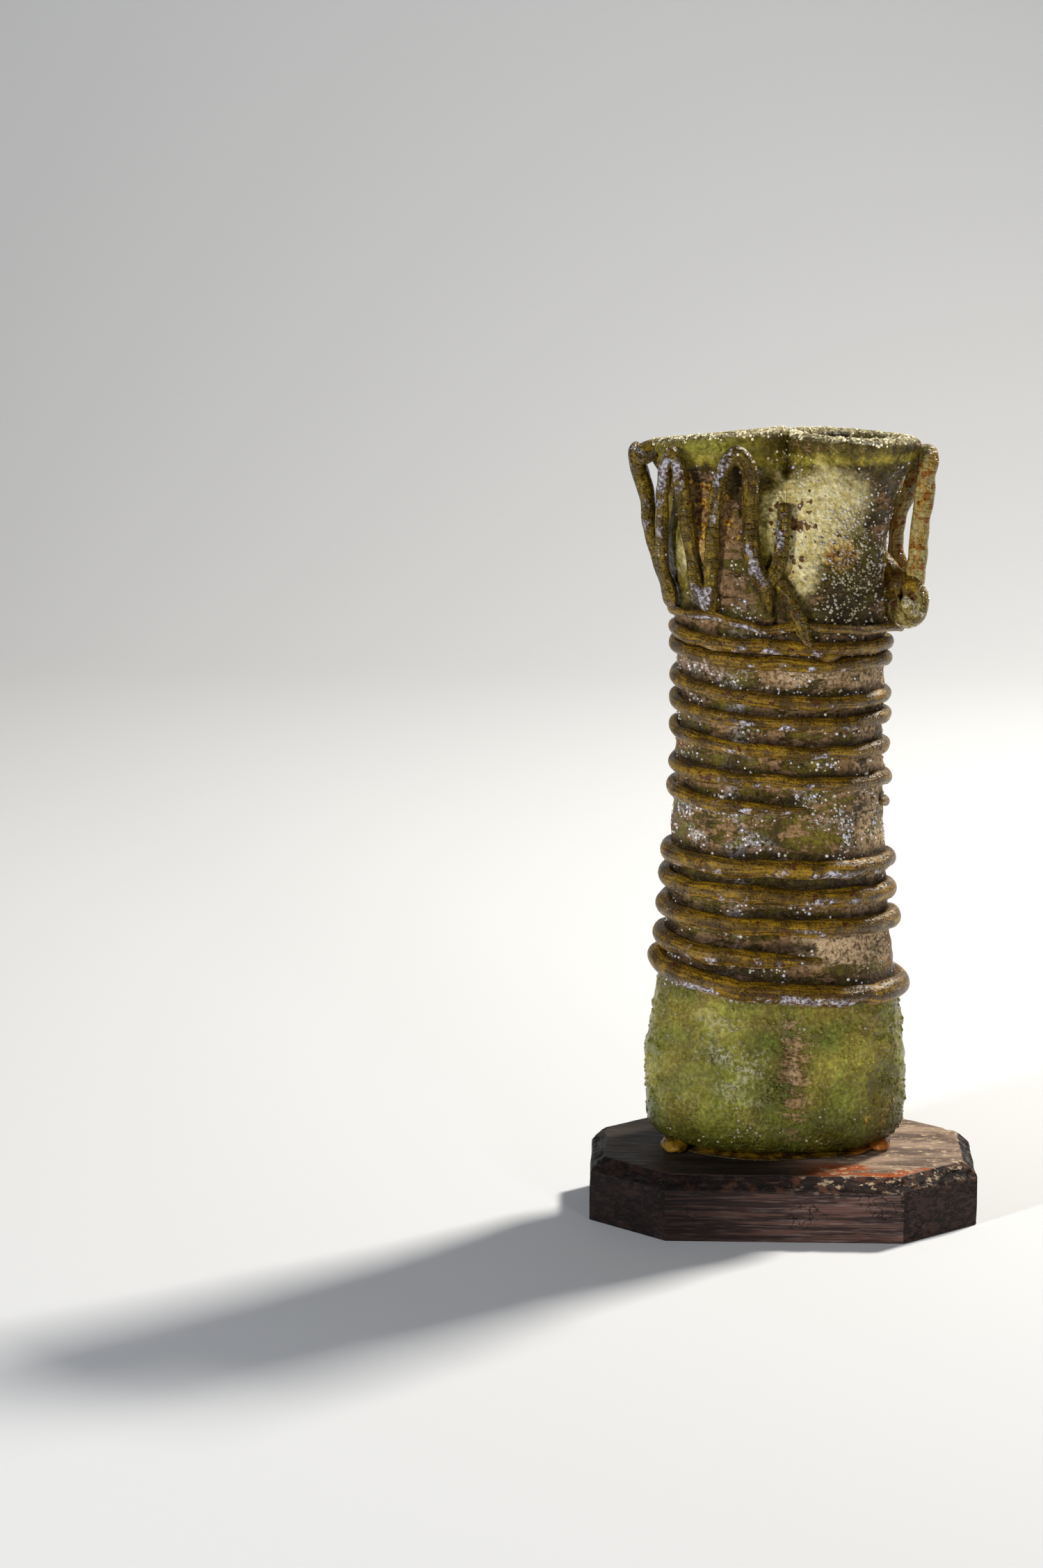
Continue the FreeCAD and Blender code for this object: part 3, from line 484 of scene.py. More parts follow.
def lip_and_bore(side, ring_points):
    """Rows from a mouth's ring over its round lip and down the bore to its rounded end.

    The lip is part of a circle about the middle of the wall, from outside and below over the top
    to the inside. Below it each row is the bore's oval, matched to the ring by its share of the
    way round, and the last rows shrink to the bore's end.
    """
    way = np.roll(ring_points, -1, axis=0) - np.roll(ring_points, 1, axis=0)
    normal = unit(np.stack([way[:, 1], -way[:, 0]], axis=1))
    count = len(ring_points)
    on_chain = np.zeros(count)
    on_chain[slice(M + 1, M + CHAIN) if side > 0 else slice(2 * M + 1, None)] = 1
    normal = np.where(on_chain[:, None] > 0, np.array([-side, 0]), normal)
    raised = on_chain * clamp((ring_points[:, 2] - ring_points[M, 2]) / CHAIN_RISE)
    start = LIP_START + (np.radians(52) - LIP_START) * raised
    middle_xy = ring_points[:, :2] - normal * WALL / 2
    middle_z = lip_plane(side, middle_xy[:, 0], middle_xy[:, 1])
    share = np.arange(1, LIP_ROWS + 1)[:, None] / LIP_ROWS
    swing = start[None, :] + (LIP_END - start[None, :]) * share
    lip = np.concatenate([middle_xy[None] + LIP_BEAD / 2 * np.cos(swing)[..., None] * normal[None],
                          (middle_z[None] + LIP_BEAD / 2 * np.sin(swing))[..., None]], axis=-1)
    steps = np.linalg.norm(np.diff(np.concatenate([ring_points, ring_points[:1]])[:, :2], axis=0), axis=1)
    run = np.concatenate([[0], np.cumsum(steps)])
    zero = run[0] if side > 0 else run[M]
    turn = (run[:-1] - zero) / run[-1] * 2 * np.pi
    floor = BASE_HEIGHT + FLOOR_THICKNESS
    down = np.linspace(0, 1, BORE_ROWS + 1)[1:, None]
    shrink = np.linspace(0, np.pi / 2, CUP_ROWS + 2)[1:-1]
    height = np.concatenate([lip[-1, :, 2] * (1 - down) + (floor + CUP_HEIGHT) * down,
                             np.full((CUP_ROWS, count), floor + CUP_HEIGHT)])
    middle, half_width, half_depth = bore_sizes(side, height)
    draw = np.concatenate([np.ones(BORE_ROWS), np.cos(shrink)])[:, None]
    across, deep = side * half_width * np.cos(turn) * draw, side * half_depth * np.sin(turn) * draw
    bore = np.stack([middle + across, deep, height], axis=-1)
    bore[BORE_ROWS:, :, 2] -= CUP_HEIGHT * np.sin(shrink)[:, None]
    return np.concatenate([lip, bore]), np.array([[middle[-1].mean(), 0, floor]])


base_pole = outer_count + CHAIN - 1
all_points = [outer_rows.reshape(-1, 3), chain, np.array([[0, 0, BASE_HEIGHT]])]
all_quads = [grid_faces(outer_rows.shape[0], 4 * M, True)]
all_triangles = [fan(np.arange(4 * M), base_pole, flip=True)]
next_index = base_pole + 1
outer_points = np.concatenate(all_points)
for side, ring in rings.items():
    sleeve, end = lip_and_bore(side, outer_points[ring])
    sleeve_rows, count = sleeve.shape[:2]
    first = next_index + np.arange(count)
    pole = next_index + sleeve_rows * count
    all_quads.append(np.stack([ring, np.roll(ring, -1), np.roll(first, -1), first], axis=1))
    all_quads.append(grid_faces(sleeve_rows, count, True) + next_index)
    all_triangles.append(fan(first + (sleeve_rows - 1) * count, pole))
    all_points += [sleeve.reshape(-1, 3), end]
    next_index = pole + 1
body_points = np.concatenate(all_points) + FOOT
blown_tube = millimetre_mesh(
    "blown_tube", body_points, np.concatenate(all_quads), np.concatenate(all_triangles))
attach(blown_tube, "vessel")
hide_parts("double_tube_body")


def spots(points, *rows):
    """A sum of soft patches. Each row gives an amount, the x, y and z of its middle, and its reach
    each way, over which it fades as exp(-d^2); in mm from the middle of the tube's foot."""
    return sum(amount * np.exp(-(((points - place[:3]) / place[3:]) ** 2).sum(axis=-1))
               for amount, *place in np.array(rows, float))


def give_share(piece, name, share):
    """A share at each point of a piece, for its material to read."""
    layer = piece.data.attributes.new(name, "FLOAT", "POINT")
    layer.data.foreach_set("value", clamp(share).astype(np.float32))


def bulb_tone_and_painted_light(points):
    """How light the green is: a tone that wanders at random and rises on the funnel, with painted light on
    the bulb's right and upper left and painted shade at its base and in its front groove.
    """
    tall = points[:, 2]
    level = 0.48 + 0.35 * sine_noise(points, 9, 105) + 0.5 * (tall > 60) - 0.5 * clamp((9 - tall) / 7)
    return level + spots(
        points, (0.5, 13, -9, 20, 6, 9, 10), (0.3, -14, -8, 23, 6, 9, 7), (-0.25, 2.6, -14, 12, 6, 9, 9))


local = body_points - FOOT
height = local[:, 2]
shares = {
    "light": bulb_tone_and_painted_light(local),
    "lime": clamp((29.5 - height) / 4) + spots(
        local, (0.5, -12, -9, 42, 6, 9, 14), (0.3, -1, -12, 106, 4, 9, 8), (1, -10, -9, 115.2, 11, 9, 1.6)),
    # Painted light: a pale yellow glow of light shining through the thin glass, mostly on the funnel.
    "painted_backlight": spots(
        local, (1.15, 7, -10, 106, 8, 9, 7), (0.55, -0.5, -12, 104, 3.5, 9, 8),
        (0.9, 3.4, -12, 98.5, 2.4, 9, 8), (0.9, -15, -8, 99, 2.4, 8, 6), (0.7, -8, 9, 105, 7, 9, 7)),
    "amber": spots(
        local, (1.6, -13, -9, 104.5, 3.2, 8, 4.5), (0.8, -9.5, -10, 101.5, 2.2, 8, 3.5),
        (0.9, 8.5, -12, 100, 3.5, 8, 3), (0.8, 1.5, -11, 104, 2.5, 8, 8), (0.5, 10, 10, 100, 7, 9, 8),
        (0.6, 16, -4, 6, 2, 6, 3)),
    "soil": 0.5 * clamp((height - 28) / 4) * clamp((112 - height) / 6) + spots(
        local, (0.8, 15, -6, 60, 4, 9, 34), (0.6, 9, -10, 36, 9, 9, 5), (0.5, 3.5, -11, 80, 9, 9, 5),
        (0.2, -9, -11, 94, 5, 9, 4), (0.4, -12.5, -9, 110.5, 4.5, 8, 3.5), (0.3, -7.5, -10, 106, 2.6, 8, 6),
        (-0.7, 12, -9, 96, 7, 9, 9), (0.9, 2.6, -14, 15, 2.6, 9, 12), (0.5, -3, 14, 16, 5, 9, 12),
        (-0.6, -1, -12, 106, 4, 9, 8)),
    "sand": clamp((height - 112.6) / 1.2),
    "gold": 0.85 * np.exp(-((height - 113.4) / 1.2) ** 2) + spots(
        local, (1.1, -1, -12, 103, 3.6, 9, 9), (0.6, 5, -12, 109.5, 9, 9, 2), (0.6, -17, -6, 103, 3, 9, 9)),
    "rust": spots(
        local, (1.2, 2.2, -12, 104, 3.6, 9, 6.5), (0.7, -13, -9, 104, 3, 9, 7), (0.9, 4, -14, 115, 4, 9, 1.8),
        (0.5, -4, -12, 108, 4, 9, 6)),
    # White film in clusters, with a painted highlight: a streak down the front at x = -7 and a sheen on the
    # bulb's front left.
    "film_and_painted_sheen": clamp(sine_noise(local * np.array([1, 1, 1.8]), 8, 101) - 0.2) * spots(
        local, (1.7, -9, -11, 55, 9, 9, 6.5), (1, 11, -9, 56, 6, 9, 6.5), (0.7, -11, -8, 80, 7, 9, 12),
        (0.8, -6, -12, 17, 6, 9, 8))
    + 1.1 * np.exp(-((local[:, 0] + 7) / 1.5) ** 2) * (local[:, 1] < 0) * (np.abs(height - 58) < 31)
    * clamp(sine_noise(local, 5, 104) + 0.3)}
for name, share in shares.items():
    give_share(blown_tube, name, share)


def read_share(name):
    """A share that the material reads off its piece."""
    return Value(add_node("Attribute", {"attribute_name": name}).outputs["Fac"])


def shifted(value, share, amount, low, high):
    """A patch mask: a value raised by a share, cut between two levels."""
    return between(share * amount + value, low, high)


tube_glass, shader = new_material("tube_glass")
place = stretched()
lime, painted_backlight, amber, soil, sand, rust, film_and_painted_sheen, gold, shade, light = (
    read_share(name)
    for name in ("lime", "painted_backlight", "amber", "soil", "sand", "rust", "film_and_painted_sheen", "gold", "shade", "light"))
broad = noise(stretched((1, 1, 0.7)), 150, 5, 0.62)
ragged = noise(place, 330, 8, 0.7, 0.5)
patchy = noise(stretched((0.75, 0.9, 2.2)), 210, 8, 0.72, 0.3)
grain = noise(place, 1500, 4, 0.68)
fine = noise(place, 760, 8, 0.72, 0.3)
face_z = axes(add_node("NewGeometry").outputs["Normal"])[2]
olive = blend(between(broad, 0.42, 0.58), (0.055, 0.034, 0.003), (0.2, 0.155, 0.012))
green = coats(blend(between(broad, 0.36, 0.64), (0.17, 0.135, 0.014), (0.31, 0.285, 0.042)),
              (between(ragged, 0.48, 0.74, 0, 0.6), (0.15, 0.22, 0.022)),
              (between(grain, 0.42, 0.62, 0.25, 0), (0.1, 0.075, 0.008)),
              (between(grain, 0.56, 0.7, 0, 0.3), (0.46, 0.44, 0.16)))
# The light share lifts or lowers the green: random tone with painted light and shade in it.
green = blend(1, green, blend(light, (0.58, 0.74, 0.5), (1.3, 1.24, 1.2)), "MULTIPLY")
# Flecks and stains: dark flecks, a golden film, amber and round spots of rust in cells; with them painted
# glints and a painted glow of pale yellow light shining through the glass.
speck = between(fine, 0.48, 0.4, 0, 0.72) * between(lime, 0, 1, 1, 0.28)
# Painted glints: pale golden flecks that stand for highlights on the pitted glass.
glint = between(fine, 0.57, 0.66, 0, 0.55) * between(lime, 0, 1, 1, 0.35)
golden = shifted(ragged, gold, 0.36, 0.58, 0.86)
stain = shifted(ragged, amber, 0.4, 0.6, 0.7) * between(amber, 0.02, 0.15)
painted_glow = shifted(ragged, painted_backlight, 0.62, 0.66, 1.08)
cells = add_node("TexVoronoi", Vector=wander(place, 0.0016, place, 900), Scale=820, Randomness=1)
cell_chance = add_node("SeparateColor", Color=cells.outputs["Color"]).outputs["Red"]
cell_reach = larger(rust, 0.6 * stain) * between(cell_chance, 0.2, 1, 0.05, 0.75)
rust_spot = between(cell_reach - cells.outputs["Distance"], 0, 0.05)
# Crusts: dirt on the stem, white film with a painted highlight streak and sheen in it, and sand on top of the
# lips.
clean = lime * between(soil, 0, 0.8, 0.85, 0)
dust = larger(shifted(patchy, soil, 0.15, 0.565, 0.61), 0.75 * between(fine, 0.57, 0.6))
dust = dust * between(larger(painted_backlight, gold), 0.6, 0.25) * (1 - clean)
pale_dirt = blend(between(soil, 0.75, 1, 0, 0.8), (0.39, 0.225, 0.108), (0.74, 0.54, 0.34))
sandy = sand * between(face_z, 0.25, 0.8) * between(ragged, 0.38, 0.52, 0.25, 1)
skin = coats(blend(lime, olive, green),
             (speck, (0.03, 0.014, 0.002)),
             (glint, (0.44, 0.34, 0.08)),
             (golden, blend(between(fine, 0.38, 0.6), (0.17, 0.125, 0.006), (0.5, 0.4, 0.045))),
             (stain, blend(between(grain, 0.42, 0.58), (0.42, 0.11, 0.005), (1, 0.62, 0.09))),
             (painted_glow, blend(between(fine, 0.4, 0.58), (0.64, 0.5, 0.16), (0.87, 0.76, 0.41))),
             (0.85 * dust, blend(between(grain, 0.36, 0.56), (0.19, 0.105, 0.045), pale_dirt)),
             (0.8 * (film_and_painted_sheen * between(grain, 0.44, 0.56)), (0.6, 0.57, 0.6)),
             (0.92 * rust_spot, (0.12, 0.032, 0.004)),
             (sandy, blend(between(grain, 0.4, 0.58), (0.16, 0.12, 0.025), (0.8, 0.7, 0.38))),
             # Painted shade from the shade share.
             (shade * between(ragged, 0.3, 0.55, 0.55, 0.88), (0.016, 0.007, 0.001)))
# Painted shade and light at a fine scale: darker where the grain noise that also raises the bump is low,
# lighter where it is high.
skin = blend(1, skin, between(grain, 0.36, 0.64, 0.8, 1.18), "MULTIPLY")
rough = larger(0.75 * larger(dust, sandy), between(lime, 0, 1, 0.17, 0.11))
pitted = add_node("TexVoronoi", Vector=place, Scale=1250, Randomness=0.9).outputs["Distance"]
pimple_share = between(noise(place, 190, 3, 0.6), 0.4, 0.6, 0.15, 1)
relief = between(pitted, 0, 0.7, 1, 0) * pimple_share * between(lime, 0, 1, 0.4, 0.35)
relief = relief + fine * between(lime, 0, 1, 0.6, 0.16) + 0.2 * dust + grain * (0.3 + 1.6 * sandy)
fill(shader, Base_Color=skin, Roughness=rough, Normal=bump(relief, 0.0007, 1), Transmission_Weight=0.08,
     IOR=1.45, Specular_IOR_Level=0.3)
blown_tube.data.materials.append(tube_glass)


# Spiral trails: threads of the same glass wound on hot. The upper one runs down from under the
# collar, the lower one down the stem, and both end broken; a stub of a lost turn is left on the
# right. A thin wavy collar closes the top and the thickest ring lies on the bulb's shoulder.
THREAD_SIDES, TIP_ROWS = 20, 5


def beside(angle, height, clear, groove=0.5):
    """A point clear of the outside at a plan angle in degrees, and the outside's direction there.
    Groove is how far the point follows the pinch: 0 passes straight over it."""
    turn = np.radians(angle)
    half_width, half_depth, pinch, crease = tube_sizes(height)
    x = half_width * np.cos(turn)
    side = np.where(x > crease, 1, -1)
    middle, half = lobe_place(side, half_width, crease)
    lobe = np.sqrt(clamp(1 - ((x - middle) / half) ** 2)) ** (3.2 - 2.4 * pinch)
    pinch = pinch * groove
    depth = half_depth * ((1 - pinch) * np.abs(np.sin(turn)) + pinch * lobe)
    way = unit(np.stack([half_depth * np.cos(turn), half_width * np.sin(turn), 0 * turn], axis=-1))
    surface = np.stack([x, np.where(np.sin(turn) < 0, -depth, depth), height], axis=-1)
    return surface + way * np.asarray(clear)[..., None], way


def thread_surface(path, outward, proud_radius, side_radius, closed=False, tip=1, sides=THREAD_SIDES):
    """An oval section carried along a path.

    At each point the section stands square to the path. Its proud radius lies along the outward
    direction and its side radius across it. An open thread ends in round tips, whose section
    shrinks as a quarter of a circle.
    """
    path, outward = np.asarray(path, float), np.asarray(outward, float)
    if closed:
        tangent = np.roll(path, -1, axis=0) - np.roll(path, 1, axis=0)
    else:
        tangent = np.gradient(path, axis=0)
    tangent = unit(tangent)
    outward = unit(outward - (outward * tangent).sum(axis=1, keepdims=True) * tangent)
    across = np.cross(tangent, outward)
    proud_radius = np.broadcast_to(np.asarray(proud_radius, float), (len(path),))
    side_radius = np.broadcast_to(np.asarray(side_radius, float), (len(path),))
    if not closed:
        poles = [path[end] + way * tip * proud_radius[end] * tangent[end] for end, way in ((0, -1), (-1, 1))]
        bend = np.linspace(0, np.pi / 2, TIP_ROWS + 2)[1:-1]
        reach = tip * np.concatenate([-proud_radius[0] * np.sin(bend[::-1]), 0 * proud_radius,
                                      proud_radius[-1] * np.sin(bend)])
        shrink = np.concatenate([np.cos(bend[::-1]), 1 + 0 * proud_radius, np.cos(bend)])
        path, tangent, outward, across, radii = (
            np.pad(row, ((TIP_ROWS, TIP_ROWS), (0, 0)), "edge")
            for row in (path, tangent, outward, across, np.stack([proud_radius, side_radius], axis=1)))
        proud_radius, side_radius = radii.T * shrink
        path = path + reach[:, None] * tangent
    turn = np.linspace(0, 2 * np.pi, sides, endpoint=False)
    grid = (path[:, None] + (proud_radius[:, None] * np.cos(turn))[..., None] * outward[:, None]
            + (side_radius[:, None] * np.sin(turn))[..., None] * across[:, None]).reshape(-1, 3)
    first = np.arange(sides)
    last = first + (len(path) - 1) * sides
    quads = grid_faces(len(path), sides, True)
    if closed:
        seam = np.stack([last, np.roll(last, -1), np.roll(first, -1), first], axis=1)
        quads = np.concatenate([quads, seam])
        return grid, quads[:, ::-1], None
    caps = np.concatenate([fan(first, len(grid), flip=True), fan(last, len(grid) + 1)])
    return np.concatenate([grid, poles]), quads[:, ::-1], caps[:, ::-1]


def thread_piece(name, surface, material, node):
    """Each point is told its way along the thread and its turn round it, for streaks drawn out
    along it."""
    points, quads, caps = surface
    piece = millimetre_mesh(name, points + FOOT, quads, caps)
    index = np.arange(len(points))
    around = 2 * np.pi * (index % THREAD_SIDES) / THREAD_SIDES
    place = np.stack([index // THREAD_SIDES * 0.035, np.cos(around), np.sin(around)], axis=-1)
    layer = piece.data.attributes.new("thread_place", "FLOAT_VECTOR", "POINT")
    layer.data.foreach_set("vector", place.astype(np.float32).ravel())
    piece.data.materials.append(material)
    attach(piece, "vessel")
    if node:
        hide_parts(node)
    return piece


wound_runs = []


def wound_trail(name, node, turns, heights, radius, clear, seed, closed=False, taper=(1, 1), bulge=None):
    """A thread round the tube through heights at plan angles in degrees, uneven as by hand.

    Its middle wavers by sine noise in height and in how far it stands out, and its radius swells
    and thins. Taper is the share of the radius left at each end.
    """
    turns, heights = np.array(turns, float), np.array(heights, float)
    wound_runs.append((turns, heights, radius))
    count = int((turns[-1] - turns[0]) / 2.5)
    angle = np.linspace(turns[0], turns[-1], count + 1)
    if closed:
        angle = angle[:-1]
    height = eased(angle, turns, heights)
    base, _ = beside(angle, height, 0 * angle)
    fade = clamp(np.minimum(angle - turns[0], turns[-1] - angle) / 40) if closed else 1
    height = height + 0.16 * sine_noise(base, 6, seed) * fade
    thick = radius * (1 + 0.1 * sine_noise(base, 8, seed + 1) * fade)
    if not closed:
        near_start = clamp((angle - turns[0]) / 25)
        near_end = clamp((turns[-1] - angle) / 30)
        thick = thick * (taper[0] + (1 - taper[0]) * near_start) * (taper[1] + (1 - taper[1]) * near_end)
    stand_off = clear + 0.1 * sine_noise(base, 7, seed + 2) * fade
    if bulge is not None:
        stand_off = stand_off + bulge(angle)
    path, way = beside(angle, height, stand_off)
    surface = thread_surface(path, way, thick, thick * 1.05, closed=closed)
    return thread_piece(name, surface, trail_glass, node)


def toned(colour, factor):
    """A colour made darker or lighter."""
    return [min(1, factor * part) for part in colour]


def thread_glass(name, deep, pale, depth, spot_level, spot_colour, dust_level, dust_colour,
                 film_and_sheen_way=(0, -0.8, -0.6), ribs=0):
    """Drawn-out glass: streaks along the thread between a deep and a pale colour, darker in patches
    by the depth, runs of whitish weathering on the side that faces a given way, partly a painted
    reflection, ragged dirt, a little more of it underneath, where its pale colour is also painted
    light through the lower edge, round spots of a stain from a level of their noises upward, and
    fine ribs across it."""
    material, shader = new_material(name)
    place = stretched()
    along = add_node("Attribute", {"attribute_name": "thread_place"}).outputs["Vector"]
    streak = noise(along, 2.6, 5, 0.62)
    rib = between(noise(stretched((5, 0.25, 0.25), along), 2.6, 2, 0.5), 0.38, 0.62)
    ragged = noise(place, 420, 7, 0.7, 0.4)
    grain = noise(place, 1600, 4, 0.68)
    face = axes(add_node("NewGeometry").outputs["Normal"])
    patch = noise(place, 240, 6, 0.68, 0.4)
    facing = sum(part * amount for part, amount in zip(face, film_and_sheen_way))
    run = noise(place, 95, 3, 0.6) + ragged
    # White film in runs on the side that faces the given way, partly a painted reflection of what lies that
    # way.
    film_and_painted_sheen = between(facing, 0.66, 0.9) * depth * between(run, 1.07, 1.12)
    # Dirt, a little more of it underneath, where its pale colour also paints light shining through the lower
    # edge.
    dust = between(ragged + between(face[2], -0.45, -0.85, 0, 0.12), dust_level, dust_level + 0.04)
    skin = coats(
        blend(between(streak, 0.34, 0.7), deep, pale),
        (between(patch, 0.44, 0.54, 0.7 * depth, 0), toned(deep, 0.5)),
        (between(noise(along, 5, 3, 0.6), 0.58, 0.7, 0, 0.35), toned(pale, 1.9)),
        ((1 - rib) * (0.5 * ribs), toned(deep, 0.4)),
        (film_and_painted_sheen, blend(between(grain, 0.44, 0.58), (0.12, 0.09, 0.09), (0.54, 0.52, 0.6))),
        (between(noise(place, 700, 2, 0.45), spot_level, spot_level + 0.03), spot_colour),
        (0.88 * dust, blend(between(grain, 0.38, 0.62), toned(dust_colour, 0.35), dust_colour)))
    # Painted shade and light at a fine scale: darker where the grain noise that also raises the bump is low,
    # lighter where it is high.
    skin = blend(1, skin, between(grain, 0.36, 0.64, 0.78, 1.2), "MULTIPLY")
    rough = larger(0.7 * dust, between(grain, 0.3, 0.7, 0.2, 0.42))
    pits = add_node("TexVoronoi", Vector=place, Scale=1900, Randomness=0.9).outputs["Distance"]
    relief = (0.35 * streak + 0.22 * grain + 0.35 * ragged + rib * (0.6 * ribs)
              + between(pits, 0.08, 0.45, 0.4, 0))
    fill(shader, Base_Color=skin, Roughness=rough, Normal=bump(relief, 0.0005, 1), Transmission_Weight=0.05,
         IOR=1.45, Specular_IOR_Level=0.24)
    return material


# The trails' film and painted reflection face front and down, towards the bright floor.
trail_glass = thread_glass("trail_glass", (0.075, 0.035, 0.001), (0.36, 0.205, 0.008), 1, 0.66,
                           (0.08, 0.02, 0.002), 0.62, (0.46, 0.3, 0.17))
upper_trail = wound_trail(
    "upper_trail", "upper_spiral_trail",
    [150, 180, 270, 360, 450, 540, 630, 720, 810, 900, 990, 1080, 1260, 1350, 1440, 1620, 1710, 1800, 1980,
     2070, 2160, 2340, 2430, 2443],
    [86, 85.6, 84.4, 83.6, 83.4, 83.1, 81.7, 80.9, 79.6, 78.1, 75.8, 75, 74, 72.1, 71.7, 69.5, 67.6, 66.8,
     63.7, 62.7, 61.4, 59.6, 58.3, 58.2],
    1.08, 0.15, 31, taper=(0.5, 0.45))
wound_trail(
    "lost_turn_stub", None, [344, 352, 368], [57.9, 57.5, 57.2], 1, 0.1, 34, taper=(0.5, 0.8))
lower_trail = wound_trail(
    "lower_trail", "lower_spiral_trail",
    [103, 180, 270, 360, 540, 630, 720, 900, 990, 1080, 1260, 1350, 1370],
    [49.7, 49.1, 48.7, 47.9, 44.9, 44.3, 43, 40, 39.2, 38.3, 35.2, 33.8, 33.7], 1.4, 0.3, 41,
    taper=(0.6, 0.35))
base_ring = wound_trail(
    "base_ring", "base_ring_trail", [0, 90, 180, 270, 360], [27, 29.3, 31.2, 28.4, 27], 1.65, 0.35, 51,
    closed=True)
collar = wound_trail(
    "collar", "collar_thread", [0, 45, 90, 135, 180, 215, 235, 250, 262, 281, 292, 311, 332, 350, 360],
    [85.7, 86.2, 87.2, 88.2, 88.7, 89, 89.1, 88.2, 87.1, 88.2, 87.6, 86.9, 86.6, 86.2, 85.7], 0.68, 0.55, 61,
    closed=True, bulge=lambda angle: 1.6 * np.exp(-((np.minimum(angle, 360 - angle)) / 14) ** 2))

# Painted shade: the wall is darkened just above each thread, at the foot and in the bulb's front groove; the
# same share also darkens the funnel low on its right and in a few patches on its front.
def foot_shade(height):
    """Painted shade: how dark the glass is made towards its foot."""
    return 0.85 * clamp((10 - height) / 7.5)


body_width, body_depth, _, _ = tube_sizes(np.clip(height, BASE_HEIGHT, LIP_HEIGHT))
body_turn = np.degrees(np.arctan2(local[:, 1] / body_depth, local[:, 0] / body_width)) % 360
darkness = spots(
    local, (0.85, 12, -9, 93, 5.5, 8, 7.5), (0.7, 6, -12, 87.5, 8, 8, 2.6), (0.5, -8, -11, 100, 2.4, 8, 6),
    (0.5, -13, -8, 109, 1.6, 8, 4), (0.4, -7, -11, 92, 4.5, 8, 6))
for turns, heights, radius in wound_runs:
    for lap in range(int(turns[-1] // 360) + 1):
        turn = body_turn + 360 * lap
        rise = height - eased(turn, turns, heights)
        stripe = np.exp(-((rise - 1.2 * radius) / (0.95 * radius)) ** 2)
        darkness = np.maximum(darkness, stripe * ((turn > turns[0]) & (turn < turns[-1])))
groove = spots(local, (0.45, 1, -14, 16, 3, 8, 11)) * (height < 29)
give_share(blown_tube, "shade", np.maximum(darkness, np.maximum(foot_shade(height), groove)))


# Zigzags: threads drawn up and down between the shoulder and the lips, standing free but for
# their bends. The left one is broken off in front. The right one ends on a folded knob.
def drawn_thread(name, knots, flat, seed, material, node):
    """A smooth thread through knots of x, y, height and radius; a knot without y lies on the front."""
    rows = []
    for x, *y, height, radius in knots:
        if not y:
            turn = np.degrees(np.arccos(np.clip(x / tube_sizes(height)[0], -1, 1)))
            surface, _ = beside(np.array([-turn]), np.array([height]), radius * 0.75, groove=1)
            y = surface[0, 1:2]
        rows.append((x, *y, height, radius))
    rows = np.array(rows)
    chord = np.concatenate([[0], np.cumsum(np.linalg.norm(np.diff(rows[:, :3], axis=0), axis=1))])
    along = np.linspace(0, chord[-1], int(chord[-1] / 0.35))
    path = np.stack([eased(along, chord, rows[:, i]) for i in range(3)], axis=-1)
    radius = eased(along, chord, rows[:, 3]) * (1 + 0.07 * sine_noise(path, 4, seed))
    path = path + 0.1 * np.stack([sine_noise(path, 5, seed + i) for i in (1, 2, 3)], axis=-1)
    outward = path * np.array([0.6, 1, 0]) + np.array([1e-3, 0, 0])
    surface = thread_surface(path, outward, radius * flat, radius, tip=0.7)
    return thread_piece(name, surface, material, node)


# The strands' film and painted highlight face front and left, towards the front-left lamp.
strand_glass = thread_glass("strand_glass", (0.06, 0.031, 0.001), (0.29, 0.19, 0.01), 0.7, 0.66,
                            (0.08, 0.02, 0.002), 0.64, (0.46, 0.28, 0.16), (-0.5, -0.84, 0.2), ribs=1)
left_zigzag = drawn_thread("left_zigzag", [
    (0.1, 106.4, 1.06), (-0.2, 103, 1.06), (-0.6, 98.6, 1.18), (-1.4, 96, 1.29),
    (-2.8, 94.9, 1.4), (-4.2, 96.4, 1.34), (-5.2, 100.4, 1.29), (-5.4, 105.1, 1.29),
    (-5.4, -11.2, 109.5, 1.34), (-5.9, -11.4, 113, 1.34), (-7.6, -11.6, 114.7, 1.4),
    (-9.4, -11.4, 112.9, 1.29), (-10.4, -11.2, 109.6, 1.23), (-11, -11.2, 105.5, 1.23),
    (-11.3, -11.2, 100, 1.29), (-11.5, -10.9, 94.5, 1.29), (-11.5, -10.3, 90.7, 1.57),
    (-12.5, -10, 92, 1.46), (-13.7, -9.4, 94, 1.29), (-14.5, -9, 97.8, 1.23), (-14.8, -9, 101.4, 1.29),
    (-15.4, -9, 105.1, 1.29), (-16.2, -9, 109, 1.34), (-16.6, -8.8, 112.2, 1.4), (-17.6, -8.4, 114.3, 1.4),
    (-18.7, -7.9, 112.4, 1.29), (-19.1, -7.3, 109, 1.23), (-19.2, -6.8, 104.9, 1.23),
    (-19.2, -6, 99.4, 1.23), (-18.8, -5.2, 94.6, 1.34), (-17.6, -4.6, 91, 1.57), (-18.4, -3.2, 93.2, 1.34),
    (-19.6, -2.4, 96.5, 1.34), (-20.9, -1.6, 100.8, 1.5), (-21.3, -1.2, 104.6, 1.65),
    (-22, -0.9, 108.2, 1.78), (-22.9, -0.6, 111.2, 1.75), (-23.5, 0, 113.8, 1.6), (-23, 2, 112.5, 1.23),
    (-21.6, 3.2, 107, 1.12), (-19.6, 4.2, 99, 1.12), (-17.3, 4.9, 91.8, 1.4)],
    0.8, 71, strand_glass, "left_zigzag_trail")
